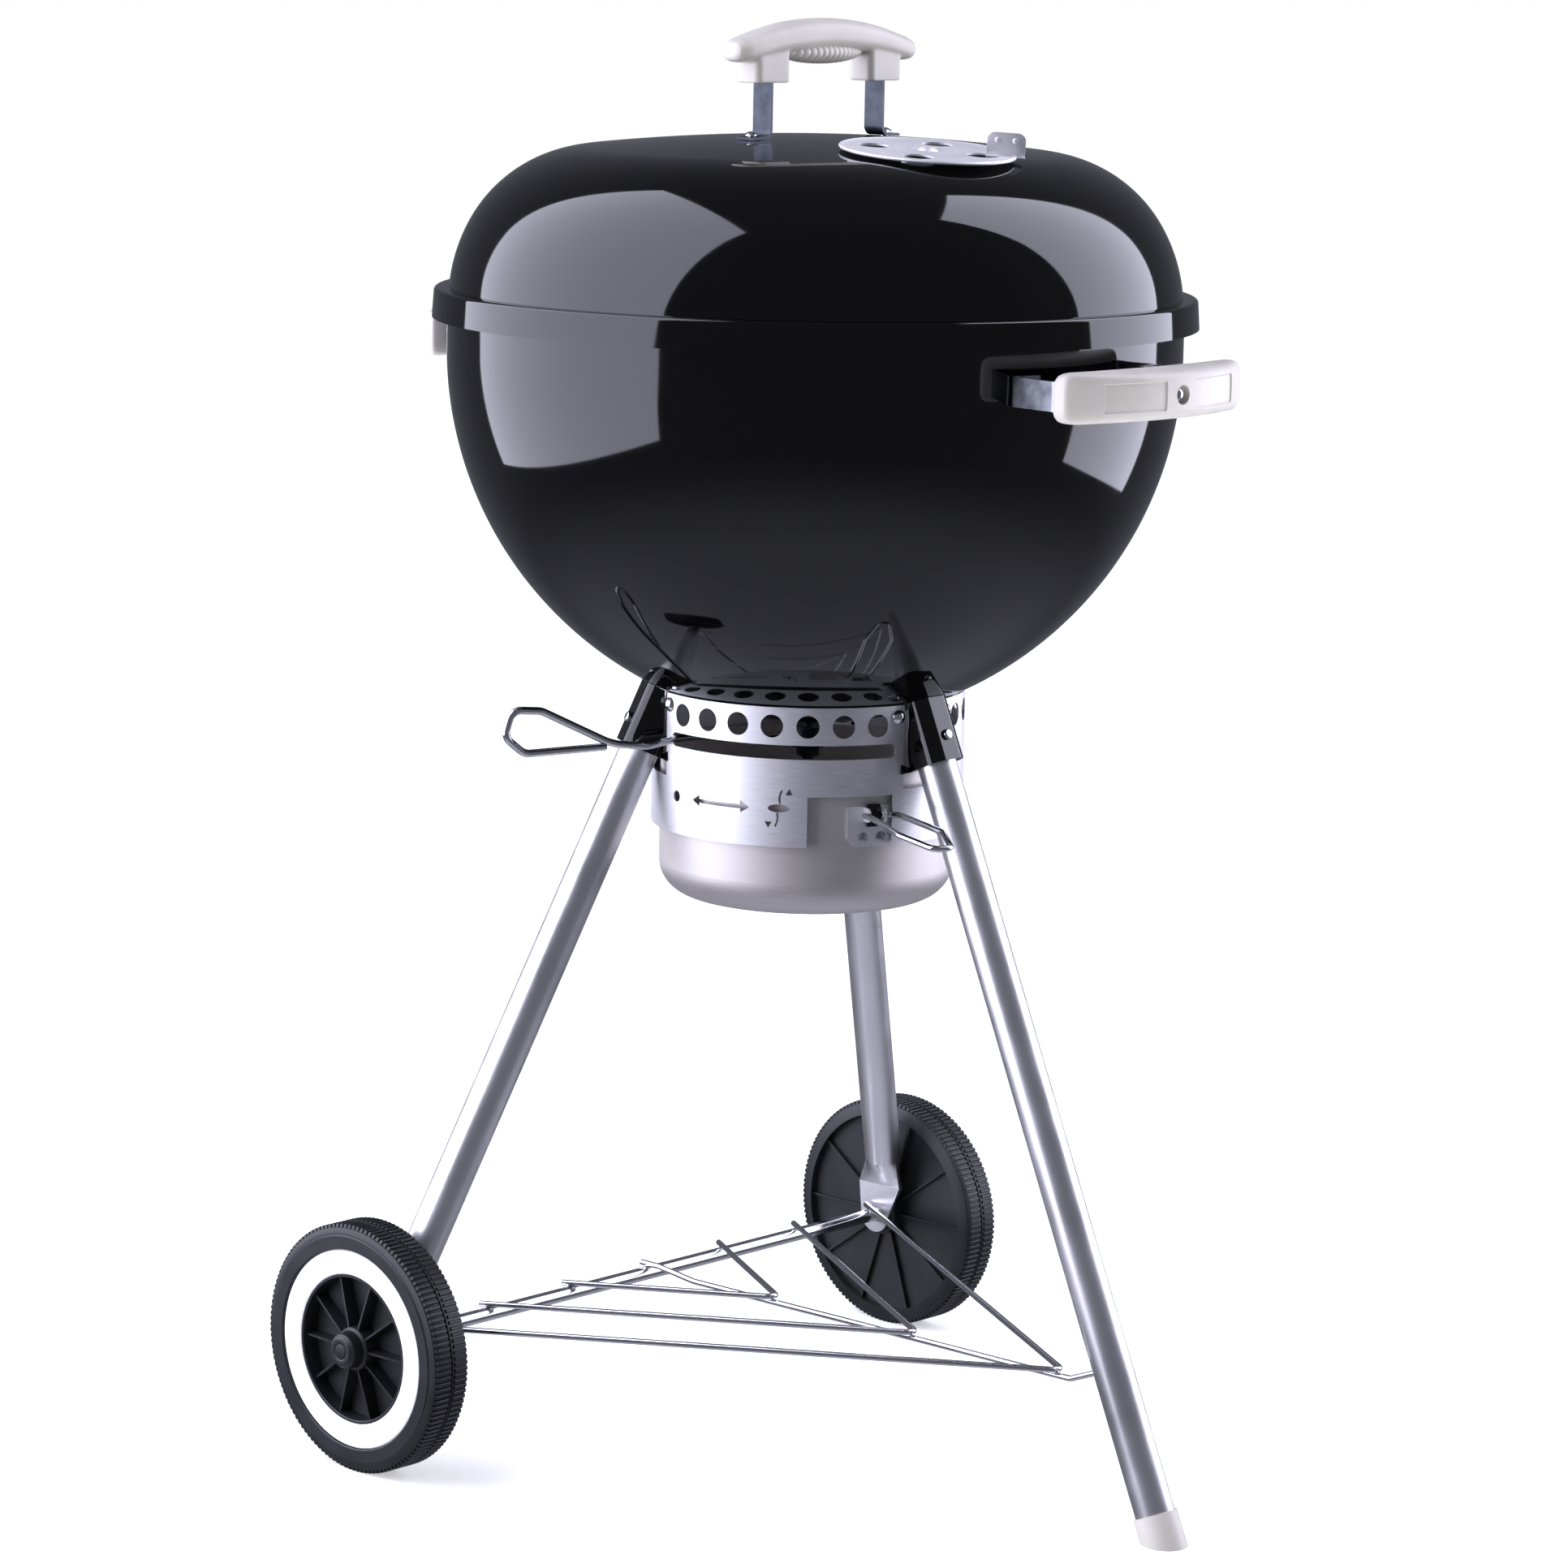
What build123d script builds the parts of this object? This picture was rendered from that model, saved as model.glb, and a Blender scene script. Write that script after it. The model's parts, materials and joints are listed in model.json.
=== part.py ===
from build123d import *
from math import asin, atan2, cos, degrees, pi, radians, sin, sqrt, tan
import os

os.makedirs("parts", exist_ok=True)

# Kettle charcoal grill on three splayed tube legs, two of them on wheels.
# Origin: on the floor, on the bowl's vertical axis. +Z up, foot leg at -Y, axle along X.
# All sizes in millimetres.

# ---- general ----
fit_gap = 0.3            # air between neighbours that do not touch
running_gap = 0.05       # radial clearance of a shaft in its hole
kettle_steel = 1.2       # enamelled sheet of the bowl and lid
rim_height = 739.0       # lowest edge of the lid's skirt
cutter = 30.0            # length of a cutting tool that only has to pass through a sheet
nut_radius = 4.4         # of every small nut, across its corners
nut_height = 4.0

# ---- bowl ----
bowl_radius = 235.0
bowl_depth = 274.8       # from the rim down to the bottom
bowl_side_bend = 238.7   # radius of the side's arc
bowl_side_angle = 64.0   # where the side's arc meets the bottom's arc, from level
bead_radius = 3.0
bowl_floor_radius = 94.0 # the separate bottom plate that holds the vent slots
vent_slot_length = 46.0
vent_slot_width = 15.0
vent_slot_reach = 50.0   # from the axis to the middle of a slot
vent_azimuths = (30.0, 150.0, 270.0)

# ---- lid ----
crown_radius = 1300.0
shoulder_radius = 92.5
side_radius = 107.0
side_top_angle = 60.0
side_end_angle = 85.0
skirt_clearance = 2.4    # air between the bowl's bead and the inside of the skirt
skirt_flare = 1.2
skirt_drop = 18.5
ledge_fillet = 2.2
vent_hole_radius = 8.0

# ---- vent damper on the lid ----
damper_reach = 120.0     # from the axis to the damper's middle
damper_azimuth = -103.0
damper_radius = 55.0
damper_thickness = 1.2
damper_hole_radius = 10.0
damper_hole_circle = 34.0
damper_hole_count = 4
damper_seat = 1.0        # air under the disc at its middle
damper_tab_azimuth = -47.0
damper_tab_length = 24.0
damper_tab_height = 15.5
damper_tab_reach = 36.0
damper_tab_corner = 5.0
damper_tab_foot = 10.0   # width of the tab's foot on the disc
damper_edge = 0.48       # rounding of the disc's edges
rivet_radius = 3.0
rivet_head_radius = 6.5
rivet_head_height = 2.6

# ---- lid handle ----
lid_strap_reach = 51.7
lid_strap_width = 15.5
lid_strap_thickness = 1.8
lid_strap_foot = 16.0
lid_strap_bend = 5.0
lid_strap_top = 903.0
lid_grip_length = 165.0
lid_grip_width = 26.0
lid_grip_block = 20.0
lid_grip_block_bottom = 890.0
lid_grip_end_height = 908.0
lid_grip_top = 930.0
lid_grip_end_drop = 8.0
lid_grip_edge = 5.5
lid_grip_corner = 6.8
lid_block_overlap = 6.0  # how far a block reaches up into the grip
lid_block_extra = 10.0   # how much longer a block is than it is wide
lid_block_corner = 3.0
lid_block_edge = 1.0
lid_bulge_radius = 10.0  # the swelling under the grip's middle
lid_bulge_length = 60.0
lid_bulge_rise = 2.5
lid_bulge_flatness = 0.5
lid_screw_radius = 2.4
lid_screw_head_radius = 5.0
lid_screw_head_height = 2.4
lid_screw_inset = 9.92   # from the strap's upright out to the screw
lid_screw_seat = 1.1     # air and washer under the screw's head
lid_screw_end = 6.0

# ---- legs ----
leg_radius = 12.7
leg_wall = 1.2
leg_tilt = 23.56
leg_band_room = -1.32    # air between the band and the leg at the socket's lower end
leg_azimuths = {"front": 270.0, "left": 150.0, "right": 30.0}
leg_top_room = 20.0      # from the leg's top up to the bowl
foot_cap_wall = 1.5
foot_cap_length = 19.0
foot_cap_floor = 4.0
crimp_rise = 46.5        # from the axle up to where the tube starts to flatten
crimp_length = 24.0
tab_thickness = 3.0
tab_outset = 6.2         # how far the flat tab stands outside the tube's axis
tab_backset = 1.1
tab_shift = 4.0          # how far the tab's upper edge lies in front of the axle
tab_shoulder = 1.0       # how much narrower the tab is on each side where it meets the crimp

# ---- leg sockets ----
socket_wall = 2.1
socket_steel = 1.6
socket_bottom_height = 465.0
socket_flange = 5.0
socket_length = 60.0     # before the bowl cuts it off
socket_corner = 9.0
button_radius = 3.4
button_height = 2.6
button_travel = 2.2
button_head_radius = 6.0
button_head_thickness = 1.4
button_edge = 1.4
button_place = 16.0      # from the socket's lower end, along the leg

# ---- ash band under the bowl ----
band_radius = 101.2
band_steel = 1.2
band_bottom = 414.5
band_notch_bottom = 450.0
band_half_span = 50.0
band_hole_radius = 7.3
band_hole_height = 491.7
band_hole_pitch = 13.0
band_holes_per_side = 7
band_hole_middles = (210.0, 330.0, 90.0)
band_cut = 5.0           # how far the band's cutters reach past its faces
lever_slot_bottom = 470.8
lever_slot_height = 9.0
lever_slot_half_span = 46.0
lever_slot_middle = 210.5
catcher_window = (223.3, 255.8)
catcher_window_top = 447.0
sight_azimuth = 168.0    # round hole below the lever's slot
sight_height = 438.8
sight_radius = 3.6
arrow_azimuth = 189.7
arrow_height = 439.0
arrow_half_span = 12.3
arrow_half_shaft = 1.3
arrow_head_overlap = 3.0
arrow_head_inset = 2.2
arrow_head = (7.5, 7.2, 7.2)
sign_azimuth = 213.0
sign_height = 439.4
sign_oval = (7.0, 2.6)
sign_arc_radius = 10.0
sign_arc_place = (12.0, 6.0)
sign_arc_start = 60.0
sign_arc_span = 45.0
sign_stroke = 1.3
sign_stroke_shift = 1.5
sign_head_place = (6.6, 10.0)
sign_head = 4.6
sign_depth = 8.0
band_screw_radius = 4.6
band_screw_rise = 3.0
band_screw_turn = 12.5   # degrees either side of a leg
band_screw_height = 496.5

# ---- vent sweep ----
sweep_shaft_radius = 4.0
sweep_hub_radius = 22.0
sweep_head_radius = 12.0
sweep_blade_width = 23.0
sweep_blade_reach = 84.0
sweep_blade_steel = 1.2
lever_wire_radius = 2.5
lever_azimuth = 166.5
lever_collar_radius = 11.0
lever_collar_bottom = 463.0
lever_collar_top = 476.5
lever_hub_height = 469.5
lever_seat = 3.0         # how deep the wire sits in the collar
lever_hub_end = 40.0
lever_corners = (        # run beyond the band and height of each corner of the wire
    (-19.0, 475.8),
    (0.0, 475.3),
    (21.0, 472.2),
    (47.0, 475.6),
    (99.0, 500.5),
    (120.0, 502.5),
    (125.5, 486.0),
    (111.0, 474.2),
    (52.0, 474.2),
)
lever_bends = (25, 40, 30, 30, 50, 14, 8, 8, 12)
sweep_rest = 45.0        # turn of the blades away from the slots at rest
sweep_head_rise = 5.0
sweep_shank_room = 8.0   # how far the shank reaches below the collar
sweep_nut_radius = 7.5
sweep_nut_height = 6.0

# ---- ash catcher ----
catcher_band_gap = 4.4
catcher_sheet = 0.8
catcher_bottom = 367.0
catcher_corner = 22.0
catcher_top = 462.0
catcher_flange = 2.5
bracket_azimuth = 248.5
bracket_half_span = 10.0
bracket_bottom = 414.0
bracket_top = 440.0
bracket_steel = 1.2
bracket_corner = 5.0     # chamfer of its lower corners
bracket_gap = 0.1        # between the bracket's plate and the catcher
ear_thickness = 1.2
ear_height = 9.0
ear_overreach = 4.0      # beyond the bail's pivot
ear_root = 0.4           # how deep an ear's root lies in the plate
ear_corner = 3.5
catcher_rivet_places = (-6.0, 6.0)
catcher_rivet_rise = 6.0 # above the plate's lower edge
catcher_rivet_radius = 1.6
catcher_rivet_head = (3.2, 1.3)
bail_wire_radius = 2.0
bail_pivot_height = 435.0
bail_pivot_outset = 0.3  # outside the band's face
bail_base = 17.0
bail_length = 94.5
bail_tip_width = 30.0
bail_tip_height = 430.0
bail_tip_corner = 9.0
bail_pin_end = 1.2       # how far a pivot's end reaches through its ear
bail_neck = (14.0, 2.0, 1.5)   # run, spread and rise of the bend beside a pivot
bail_shoulder = (18.0, -1.0)   # run beyond the middle, and rise, of the widest place
bail_bends = (3, 10, 12, 6, 6, 12, 10, 3)

# ---- wheels and axle ----
axle_radius = 4.65
wheel_radius = 81.5
wheel_width = 31.0
wheel_outset = 38.5      # from the leg's tab to the wheel's outer face
wheel_rim_depth = 11.0
wheel_web_inset = 6.0
wheel_web_thickness = 4.0
wheel_hub_radius = 15.0
wheel_bead = 4.0
wheel_rib_count = 10
wheel_rib_thickness = 2.4
wheel_rib_set_back = 5.0 # from the wheel's inner face in to its rear ribs
wheel_front_rib = 2.5    # height of the front ribs over the web
wheel_rib_root = 0.5     # how deep the ribs lie in the web
wheel_rib_overlap = 1.0  # how deep the ribs lie in the hub and the rim
wheel_hub_set_back = 1.0
trim_set_back = 1.2
trim_edge = 1.0
hub_cap_edge = 4.0
trim_rim_width = 16.5    # from the tread in to the trim ring
trim_width = 16.2
hub_cap_radius = 12.0
hub_cap_height = 8.5     # beyond the wheel's outer face
hub_cap_wall = 5.0

# ---- wire rack between the legs ----
rack_wire_radius = 2.0
rack_rise = 5.0          # how much higher the front vertex lies than the axle end
rack_end_room = 5.0      # from the leg's tab to the outer wire's end
rack_steepness = 1.642   # run towards the front leg for each millimetre sideways
rack_overhang = 5.0      # wire end behind the axle's middle
rack_bend = 5.0
centre_bend = 12.0
centre_run = (12.0, 45.0)   # from the axle to the centre wire's first two bends
centre_end_rise = 11.0      # of its end in the leg over the rack
centre_leg_run = 22.0       # from the leg to its last bend
centre_leg_depth = 3.0      # how far its end goes into the leg

# ---- bowl handles ----
handle_drop = 24.0       # from the lid's lowest edge down to the grip's middle
handle_strap_inner = 49.0
handle_strap_outer = 71.0
handle_strap_width = 18.0
handle_strap_steel = 1.8
handle_standoff = 33.0   # from the bowl's wall to the strap's bridge
handle_grip_half = 83.0
handle_grip_height = 31.0
handle_grip_end_depth = 13.0
handle_grip_depth = 35.0
handle_screw_radius = 5.0
handle_shank_radius = 2.5
handle_screw_rise = 2.5
handle_screw_recess = 4.0   # from the grip's face in to the screw's head
handle_screw_end = 6.0      # how far the shank reaches behind the strap's bridge
handle_grip_corner = 4.5
handle_grip_edge = 4.0
handle_foot_trim = 6.0      # from the strap's outer knee back to the foot's end
handle_knee_run = 5.0
handle_knee_outset = 3.0
handle_bends = (5.0, 3.0)

# ---- grates ----
cooking_grate_gap = 11.8
cooking_grate_drop = 34.0
charcoal_grate_gap = 17.0
charcoal_grate_drop = 181.0
grate_ring_radius = 3.0
grate_rod_radius = 1.75
cooking_rod_pitch = 17.0
charcoal_rod_pitch = 26.0
grate_bar_share = 0.42   # place of the two cross bars, as a share of the radius
grate_end_share = 0.33   # least run of a rod's place inside the ring, as a share of the pitch
tab_half_span = 2.4      # degrees either side of a grate bracket's middle
tab_steel = 1.6
tab_height = 14.0
tab_reach_in = 8.0       # how far a grate overlaps its brackets
tab_count = 4
tab_first = 45.0

# ---- worked out from the sizes above ----
bottom_up = (Align.CENTER, Align.CENTER, Align.MIN)
tilt = radians(leg_tilt)
leg_slope = tan(tilt)
socket_width = 2 * (leg_radius + socket_wall)
foot_cap_radius = leg_radius + foot_cap_wall
tab_width = pi * leg_radius
tab_end_width = 2 * leg_radius
leg_floor_reach = band_radius + leg_radius + leg_band_room + leg_slope * socket_bottom_height
leg_end_height = foot_cap_floor / cos(tilt) + leg_radius * sin(tilt) + fit_gap
catcher_radius = band_radius - band_steel - catcher_band_gap
bail_pivot_reach = band_radius + bail_pivot_outset
bail_tip_reach = bail_pivot_reach + bail_length
axle_height = wheel_radius
crimp_top_height = axle_height + crimp_rise
wheel_leg_turn = radians(leg_azimuths["right"])
wheel_y = (leg_floor_reach - leg_slope * axle_height) * sin(wheel_leg_turn) + tab_backset
tab_reach = (leg_floor_reach - leg_slope * crimp_top_height) * cos(wheel_leg_turn) + tab_outset
wheel_outer_face = tab_reach + wheel_outset
trim_outer_radius = wheel_radius - trim_rim_width
trim_inner_radius = trim_outer_radius - trim_width
hub_cap_reach = wheel_outer_face + hub_cap_height
rack_half = tab_reach - rack_end_room
rack_ends = {"outer": rack_half, "middle": rack_half * 2 / 3, "inner": rack_half / 3}
lid_foot_radius = bowl_radius - kettle_steel
skirt_top_radius = bowl_radius + 2 * bead_radius + skirt_clearance
skirt_radius = skirt_top_radius + skirt_flare
lid_arc_width = (shoulder_radius - side_radius) * sin(radians(side_top_angle))
lid_arc_width += side_radius * sin(radians(side_end_angle))
crown_slope = degrees(asin((lid_foot_radius - lid_arc_width) / (crown_radius - shoulder_radius)))
bead_centre_height = rim_height + skirt_drop - kettle_steel - fit_gap - bead_radius
bowl_bottom = bead_centre_height + bead_radius - bowl_depth
side_centre_radius = bowl_radius - bowl_side_bend
handle_height = rim_height - handle_drop
handle_bridge_reach = bowl_radius + handle_standoff
handle_grip_end_face = handle_bridge_reach + handle_grip_end_depth
handle_grip_face = handle_bridge_reach + handle_grip_depth
cooking_grate_height = bead_centre_height + bead_radius - cooking_grate_drop
charcoal_grate_height = bead_centre_height + bead_radius - charcoal_grate_drop


def on_circle(radius, azimuth, height=0.0):
    """The point at a radius, an azimuth in degrees and a height."""
    turn = radians(azimuth)
    return Vector(radius * cos(turn), radius * sin(turn), height)


def turned(shape, azimuth):
    """A shape turned about the grill's vertical axis."""
    return Rot(0, 0, azimuth) * shape


def arc_point(centre, radius, angle):
    """The point of a circle at an angle in degrees from level."""
    return (centre[0] + radius * cos(radians(angle)), centre[1] + radius * sin(radians(angle)))


def arc_between(centre, radius, first, last):
    """An arc of a circle in the profile plane, between two angles from level."""
    middle = (first + last) / 2
    return ThreePointArc(*[arc_point(centre, radius, angle) for angle in (first, middle, last)])


def revolved(profile):
    """A profile drawn in radius and height, turned once about the vertical axis."""
    return revolve(Plane.XZ * make_face(profile), Axis.Z, 360)


def bar(start, end, radius):
    """A round bar between two points."""
    line = Line(start, end)
    return sweep(Plane(origin=start, z_dir=line % 0) * Circle(radius), path=line)


def wire_along(points, bends, radius):
    """A round wire through points, with one bend radius for each inner point."""
    path = FilletPolyline(*points, radius=bends)
    return sweep(Plane(origin=path @ 0, z_dir=path % 0) * Circle(radius), path=path)


def sector(inner, outer, bottom, top, first, last):
    """A piece of a ring between two azimuths in degrees."""
    face = make_face(
        [
            Line((inner, bottom), (outer, bottom)),
            Line((outer, bottom), (outer, top)),
            Line((outer, top), (inner, top)),
            Line((inner, top), (inner, bottom)),
        ]
    )
    return turned(revolve(Plane.XZ * face, Axis.Z, last - first), first)


def write(shape, name):
    """Write one piece, or one group of like pieces, to its own file."""
    export_step(Compound(label=name, children=shape.solids()), f"parts/{name}.step")
    print(name, len(shape.solids()), round(shape.volume))


# ---------------------------------------------------------------- profiles
def bowl_arcs(inset):
    """Centres and radii of the bowl's side and bottom arcs, an inset inside the outer face."""
    # The side's arc ends level with the wall, and the bottom's arc is centred on the axis.
    side = bowl_side_bend - inset
    reach = side_centre_radius + bowl_side_bend * cos(radians(bowl_side_angle))
    bottom_radius = reach / cos(radians(bowl_side_angle))
    bottom_centre = (0.0, bowl_bottom + bottom_radius)
    side_centre = (
        side_centre_radius,
        bottom_centre[1] - (bottom_radius - bowl_side_bend) * sin(radians(bowl_side_angle)),
    )
    return side_centre, side, bottom_centre, bottom_radius - inset


def bowl_line(inset, top):
    """The bowl's profile from the axis up to a height, an inset inside the outer face."""
    side_centre, side, bottom_centre, bottom = bowl_arcs(inset)
    wall = side_centre[0] + side
    return [
        arc_between(bottom_centre, bottom, -90, -bowl_side_angle),
        arc_between(side_centre, side, -bowl_side_angle, 0),
        Line((wall, side_centre[1]), (wall, top)),
    ]


def bowl_height_at(radius, inset=0.0):
    """The height of the bowl's lower face at a radius."""
    side_centre, side, bottom_centre, bottom = bowl_arcs(inset)
    if radius <= bottom * cos(radians(bowl_side_angle)):
        return bottom_centre[1] - sqrt(bottom**2 - radius**2)
    return side_centre[1] - sqrt(side**2 - (radius - side_centre[0]) ** 2)


def lid_line(inset):
    """The lid's profile from the axis down to the ledge, an inset inside the outer face."""
    shoulder_start = 90 - crown_slope
    crown_centre = (0.0, -crown_radius)
    joint = arc_point(crown_centre, crown_radius, shoulder_start)
    shoulder_centre = arc_point(joint, -shoulder_radius, shoulder_start)
    joint = arc_point(shoulder_centre, shoulder_radius, 90 - side_top_angle)
    side_centre = arc_point(joint, -side_radius, 90 - side_top_angle)
    end = arc_point(side_centre, side_radius, 90 - side_end_angle)
    lift = rim_height + skirt_drop - end[1]
    crown_centre, shoulder_centre, side_centre = [
        (centre[0], centre[1] + lift) for centre in (crown_centre, shoulder_centre, side_centre)
    ]
    arcs = [
        arc_between(crown_centre, crown_radius - inset, 90, shoulder_start),
        arc_between(shoulder_centre, shoulder_radius - inset, shoulder_start, 90 - side_top_angle),
        arc_between(side_centre, side_radius - inset, 90 - side_top_angle, 90 - side_end_angle),
    ]
    return arcs, crown_centre


lid_arcs, crown_middle = lid_line(0.0)
lid_top = crown_middle[1] + crown_radius


def lid_height_at(radius):
    """The height of the lid's crown at a radius."""
    return crown_middle[1] + sqrt(crown_radius**2 - radius**2)


# ---------------------------------------------------------------- lid
def lid_shell():
    """The domed lid, whose ledge and skirt hang over the bowl's rim."""
    ledge_top = rim_height + skirt_drop
    ledge_bottom = ledge_top - kettle_steel
    inner_arcs = lid_line(kettle_steel)[0]
    outer_end = lid_arcs[-1] @ 1
    inner_end = inner_arcs[-1] @ 1
    outline = [
        *lid_arcs,
        Line(outer_end, (skirt_top_radius, ledge_top)),
        Line((skirt_top_radius, ledge_top), (skirt_radius, rim_height)),
        Line((skirt_radius, rim_height), (skirt_radius - kettle_steel, rim_height)),
        Line((skirt_radius - kettle_steel, rim_height), (skirt_top_radius - kettle_steel, ledge_bottom)),
        Line((skirt_top_radius - kettle_steel, ledge_bottom), (inner_end.X, ledge_bottom)),
        Line((inner_end.X, ledge_bottom), inner_end),
        *inner_arcs,
        Line((0, lid_top), (0, lid_top - kettle_steel)),
    ]
    shell = revolved(outline)
    edges = shell.edges().filter_by(GeomType.CIRCLE)
    ledge_corner = edges.sort_by(lambda edge: abs(edge.radius - skirt_top_radius)
                                 + abs(edge.center().Z - ledge_top))[0]
    shell = fillet(ledge_corner, ledge_fillet)
    holes = [
        damper_frame() * Pos(place.X, place.Y, 0) * Cylinder(vent_hole_radius, cutter)
        for place in damper_hole_places()
    ]
    rivet_hole = damper_frame() * Cylinder(rivet_radius + running_gap, cutter)
    bolts = [
        lid_screw_frame(x) * Cylinder(lid_screw_radius + running_gap, cutter) for x in lid_screw_places()
    ]
    return shell - holes - rivet_hole - bolts


# ---------------------------------------------------------------- damper
def damper_frame():
    """A location at the damper's middle, with Z along the lid's normal there."""
    slope = degrees(atan2(damper_reach, sqrt(crown_radius**2 - damper_reach**2)))
    place = on_circle(damper_reach, damper_azimuth, lid_height_at(damper_reach))
    return Location(place) * Rot(0, 0, damper_azimuth) * Rot(0, slope, 0)


def damper_hole_places():
    """Middles of the damper's holes in its own plane."""
    step = 360.0 / damper_hole_count
    return [on_circle(damper_hole_circle, step * (turn + 0.5)) for turn in range(damper_hole_count)]


def vent_damper():
    """The round damper disc with its four holes and its upright finger tab."""
    disc = Pos(0, 0, damper_seat) * Cylinder(damper_radius, damper_thickness, align=bottom_up)
    edge = fillet(disc.edges(), damper_edge)
    holes = [
        Pos(place.X, place.Y, 0) * Cylinder(damper_hole_radius, cutter) for place in damper_hole_places()
    ]
    shaft = Cylinder(rivet_radius + running_gap, cutter)
    tab = Pos(damper_tab_reach + damper_tab_length / 2, 0, damper_seat) * Box(
        damper_tab_length, damper_thickness, damper_tab_height, align=bottom_up
    )
    top_corners = tab.edges().filter_by(Axis.Y).group_by(Axis.Z)[-1]
    tab = fillet(top_corners, damper_tab_corner)
    tab_turn = Rot(0, 0, damper_tab_azimuth - damper_azimuth)
    foot = tab_turn * Pos(damper_tab_reach + damper_tab_length / 2, 0, damper_seat) * Box(
        damper_tab_length, damper_tab_foot, damper_thickness, align=bottom_up
    )
    return damper_frame() * (edge - holes - shaft + tab_turn * tab + foot)


def vent_rivet():
    """The rivet on which the damper turns, headed outside and inside the lid."""
    top = damper_seat + damper_thickness + running_gap
    shank = Pos(0, 0, -kettle_steel - fit_gap) * Cylinder(
        rivet_radius, top + kettle_steel + fit_gap, align=bottom_up
    )
    head = Pos(0, 0, top) * dome(rivet_head_radius, rivet_head_height)
    foot = Pos(0, 0, -kettle_steel - fit_gap) * Rot(180, 0, 0) * dome(rivet_head_radius, rivet_head_height)
    return damper_frame() * (head + shank + foot)


def dome(radius, height):
    """A low round head that stands on its flat face."""
    sphere_radius = (radius**2 + height**2) / (2 * height)
    ball = Pos(0, 0, height - sphere_radius) * Sphere(sphere_radius)
    return ball & Cylinder(radius * 1.01, height * 2, align=bottom_up)


# ---------------------------------------------------------------- lid handle
def lid_screw_places():
    """Places along X of the screws that hold the handle's feet."""
    middle = lid_strap_reach + lid_screw_inset
    return (-middle, middle)


def lid_screw_frame(x):
    """A location on the lid at a screw, with Z along the lid's normal there."""
    return Location((x, 0, lid_height_at(x))) * Rot(0, degrees(atan2(x, crown_radius)), 0)


def lid_handle_bracket(side):
    """One upright strap with its foot bent outward onto the lid."""
    foot_height = lid_height_at(lid_strap_reach + lid_strap_foot) + fit_gap
    drop = degrees(atan2(lid_strap_reach + lid_strap_foot / 2, crown_radius))
    run = lid_strap_foot * tan(radians(drop))
    knee = (lid_strap_reach, foot_height + run + lid_strap_thickness / 2)
    toe = (lid_strap_reach + lid_strap_foot, foot_height + lid_strap_thickness / 2)
    path = FilletPolyline((lid_strap_reach, lid_strap_top), knee, toe, radius=lid_strap_bend)
    path = Plane.XZ * path
    section = Plane(origin=path @ 0, x_dir=(0, 1, 0), z_dir=path % 0)
    strap = sweep(section * Rectangle(lid_strap_width, lid_strap_thickness), path=path)
    screw_hole = lid_screw_frame(lid_screw_places()[1]) * Cylinder(lid_screw_radius + running_gap, cutter)
    strap = strap - screw_hole
    return strap if side > 0 else mirror(strap, Plane.YZ)


def lid_handle_screws():
    """The pan-head screws through the handle's feet and their nuts under the lid."""
    made = []
    for x in lid_screw_places():
        head_bottom = lid_strap_thickness + lid_screw_seat
        shank = Pos(0, 0, -lid_screw_end) * Cylinder(
            lid_screw_radius, head_bottom + lid_screw_end, align=bottom_up
        )
        head = Pos(0, 0, head_bottom) * dome(lid_screw_head_radius, lid_screw_head_height)
        nut = extrude(RegularPolygon(nut_radius, 6), nut_height)
        nut = Pos(0, 0, -kettle_steel - fit_gap - nut_height) * nut
        made.append(lid_screw_frame(x) * (shank + head + nut))
    return Compound(children=made)


def lid_handle_grip():
    """The arched plastic grip, with a block at each end that holds a strap."""
    half = lid_grip_length / 2
    arch_bottom = lid_grip_end_height - lid_grip_end_drop
    shoulder = lid_grip_end_height + lid_grip_end_drop
    top = ThreePointArc((-half, shoulder), (0, lid_grip_top), (half, shoulder))
    outline = [
        top,
        Line((half, shoulder), (half, arch_bottom)),
        Line((half, arch_bottom), (-half, arch_bottom)),
        Line((-half, arch_bottom), (-half, shoulder)),
    ]
    face = make_face(outline)
    face = fillet(face.vertices(), lid_grip_corner)
    body = extrude(Plane.XZ * face, lid_grip_width / 2, both=True)
    body = fillet(body.edges().filter_by(Axis.Y, reverse=True), lid_grip_edge)
    blocks = []
    block_height = arch_bottom + lid_block_overlap - lid_grip_block_bottom
    for side in (-1, 1):
        block = Pos(side * lid_strap_reach, 0, lid_grip_block_bottom) * Box(
            lid_grip_block + lid_block_extra, lid_grip_block, block_height, align=bottom_up
        )
        block = fillet(block.edges().filter_by(Axis.Z), lid_block_corner)
        blocks.append(fillet(block.edges().group_by(Axis.Z)[0], lid_block_edge))
    bulge = Cylinder(lid_bulge_radius, lid_bulge_length, rotation=(0, 90, 0))
    bulge = Pos(0, 0, arch_bottom + lid_bulge_rise) * scale(bulge, (1, 1, lid_bulge_flatness))
    slots = [
        Pos(side * lid_strap_reach, 0, lid_grip_block_bottom - 1) * Box(
            lid_strap_thickness + 2 * running_gap,
            lid_strap_width + 2 * running_gap,
            lid_strap_top + running_gap - lid_grip_block_bottom + 1,
            align=bottom_up,
        )
        for side in (-1, 1)
    ]
    return body + blocks + bulge - slots


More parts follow.
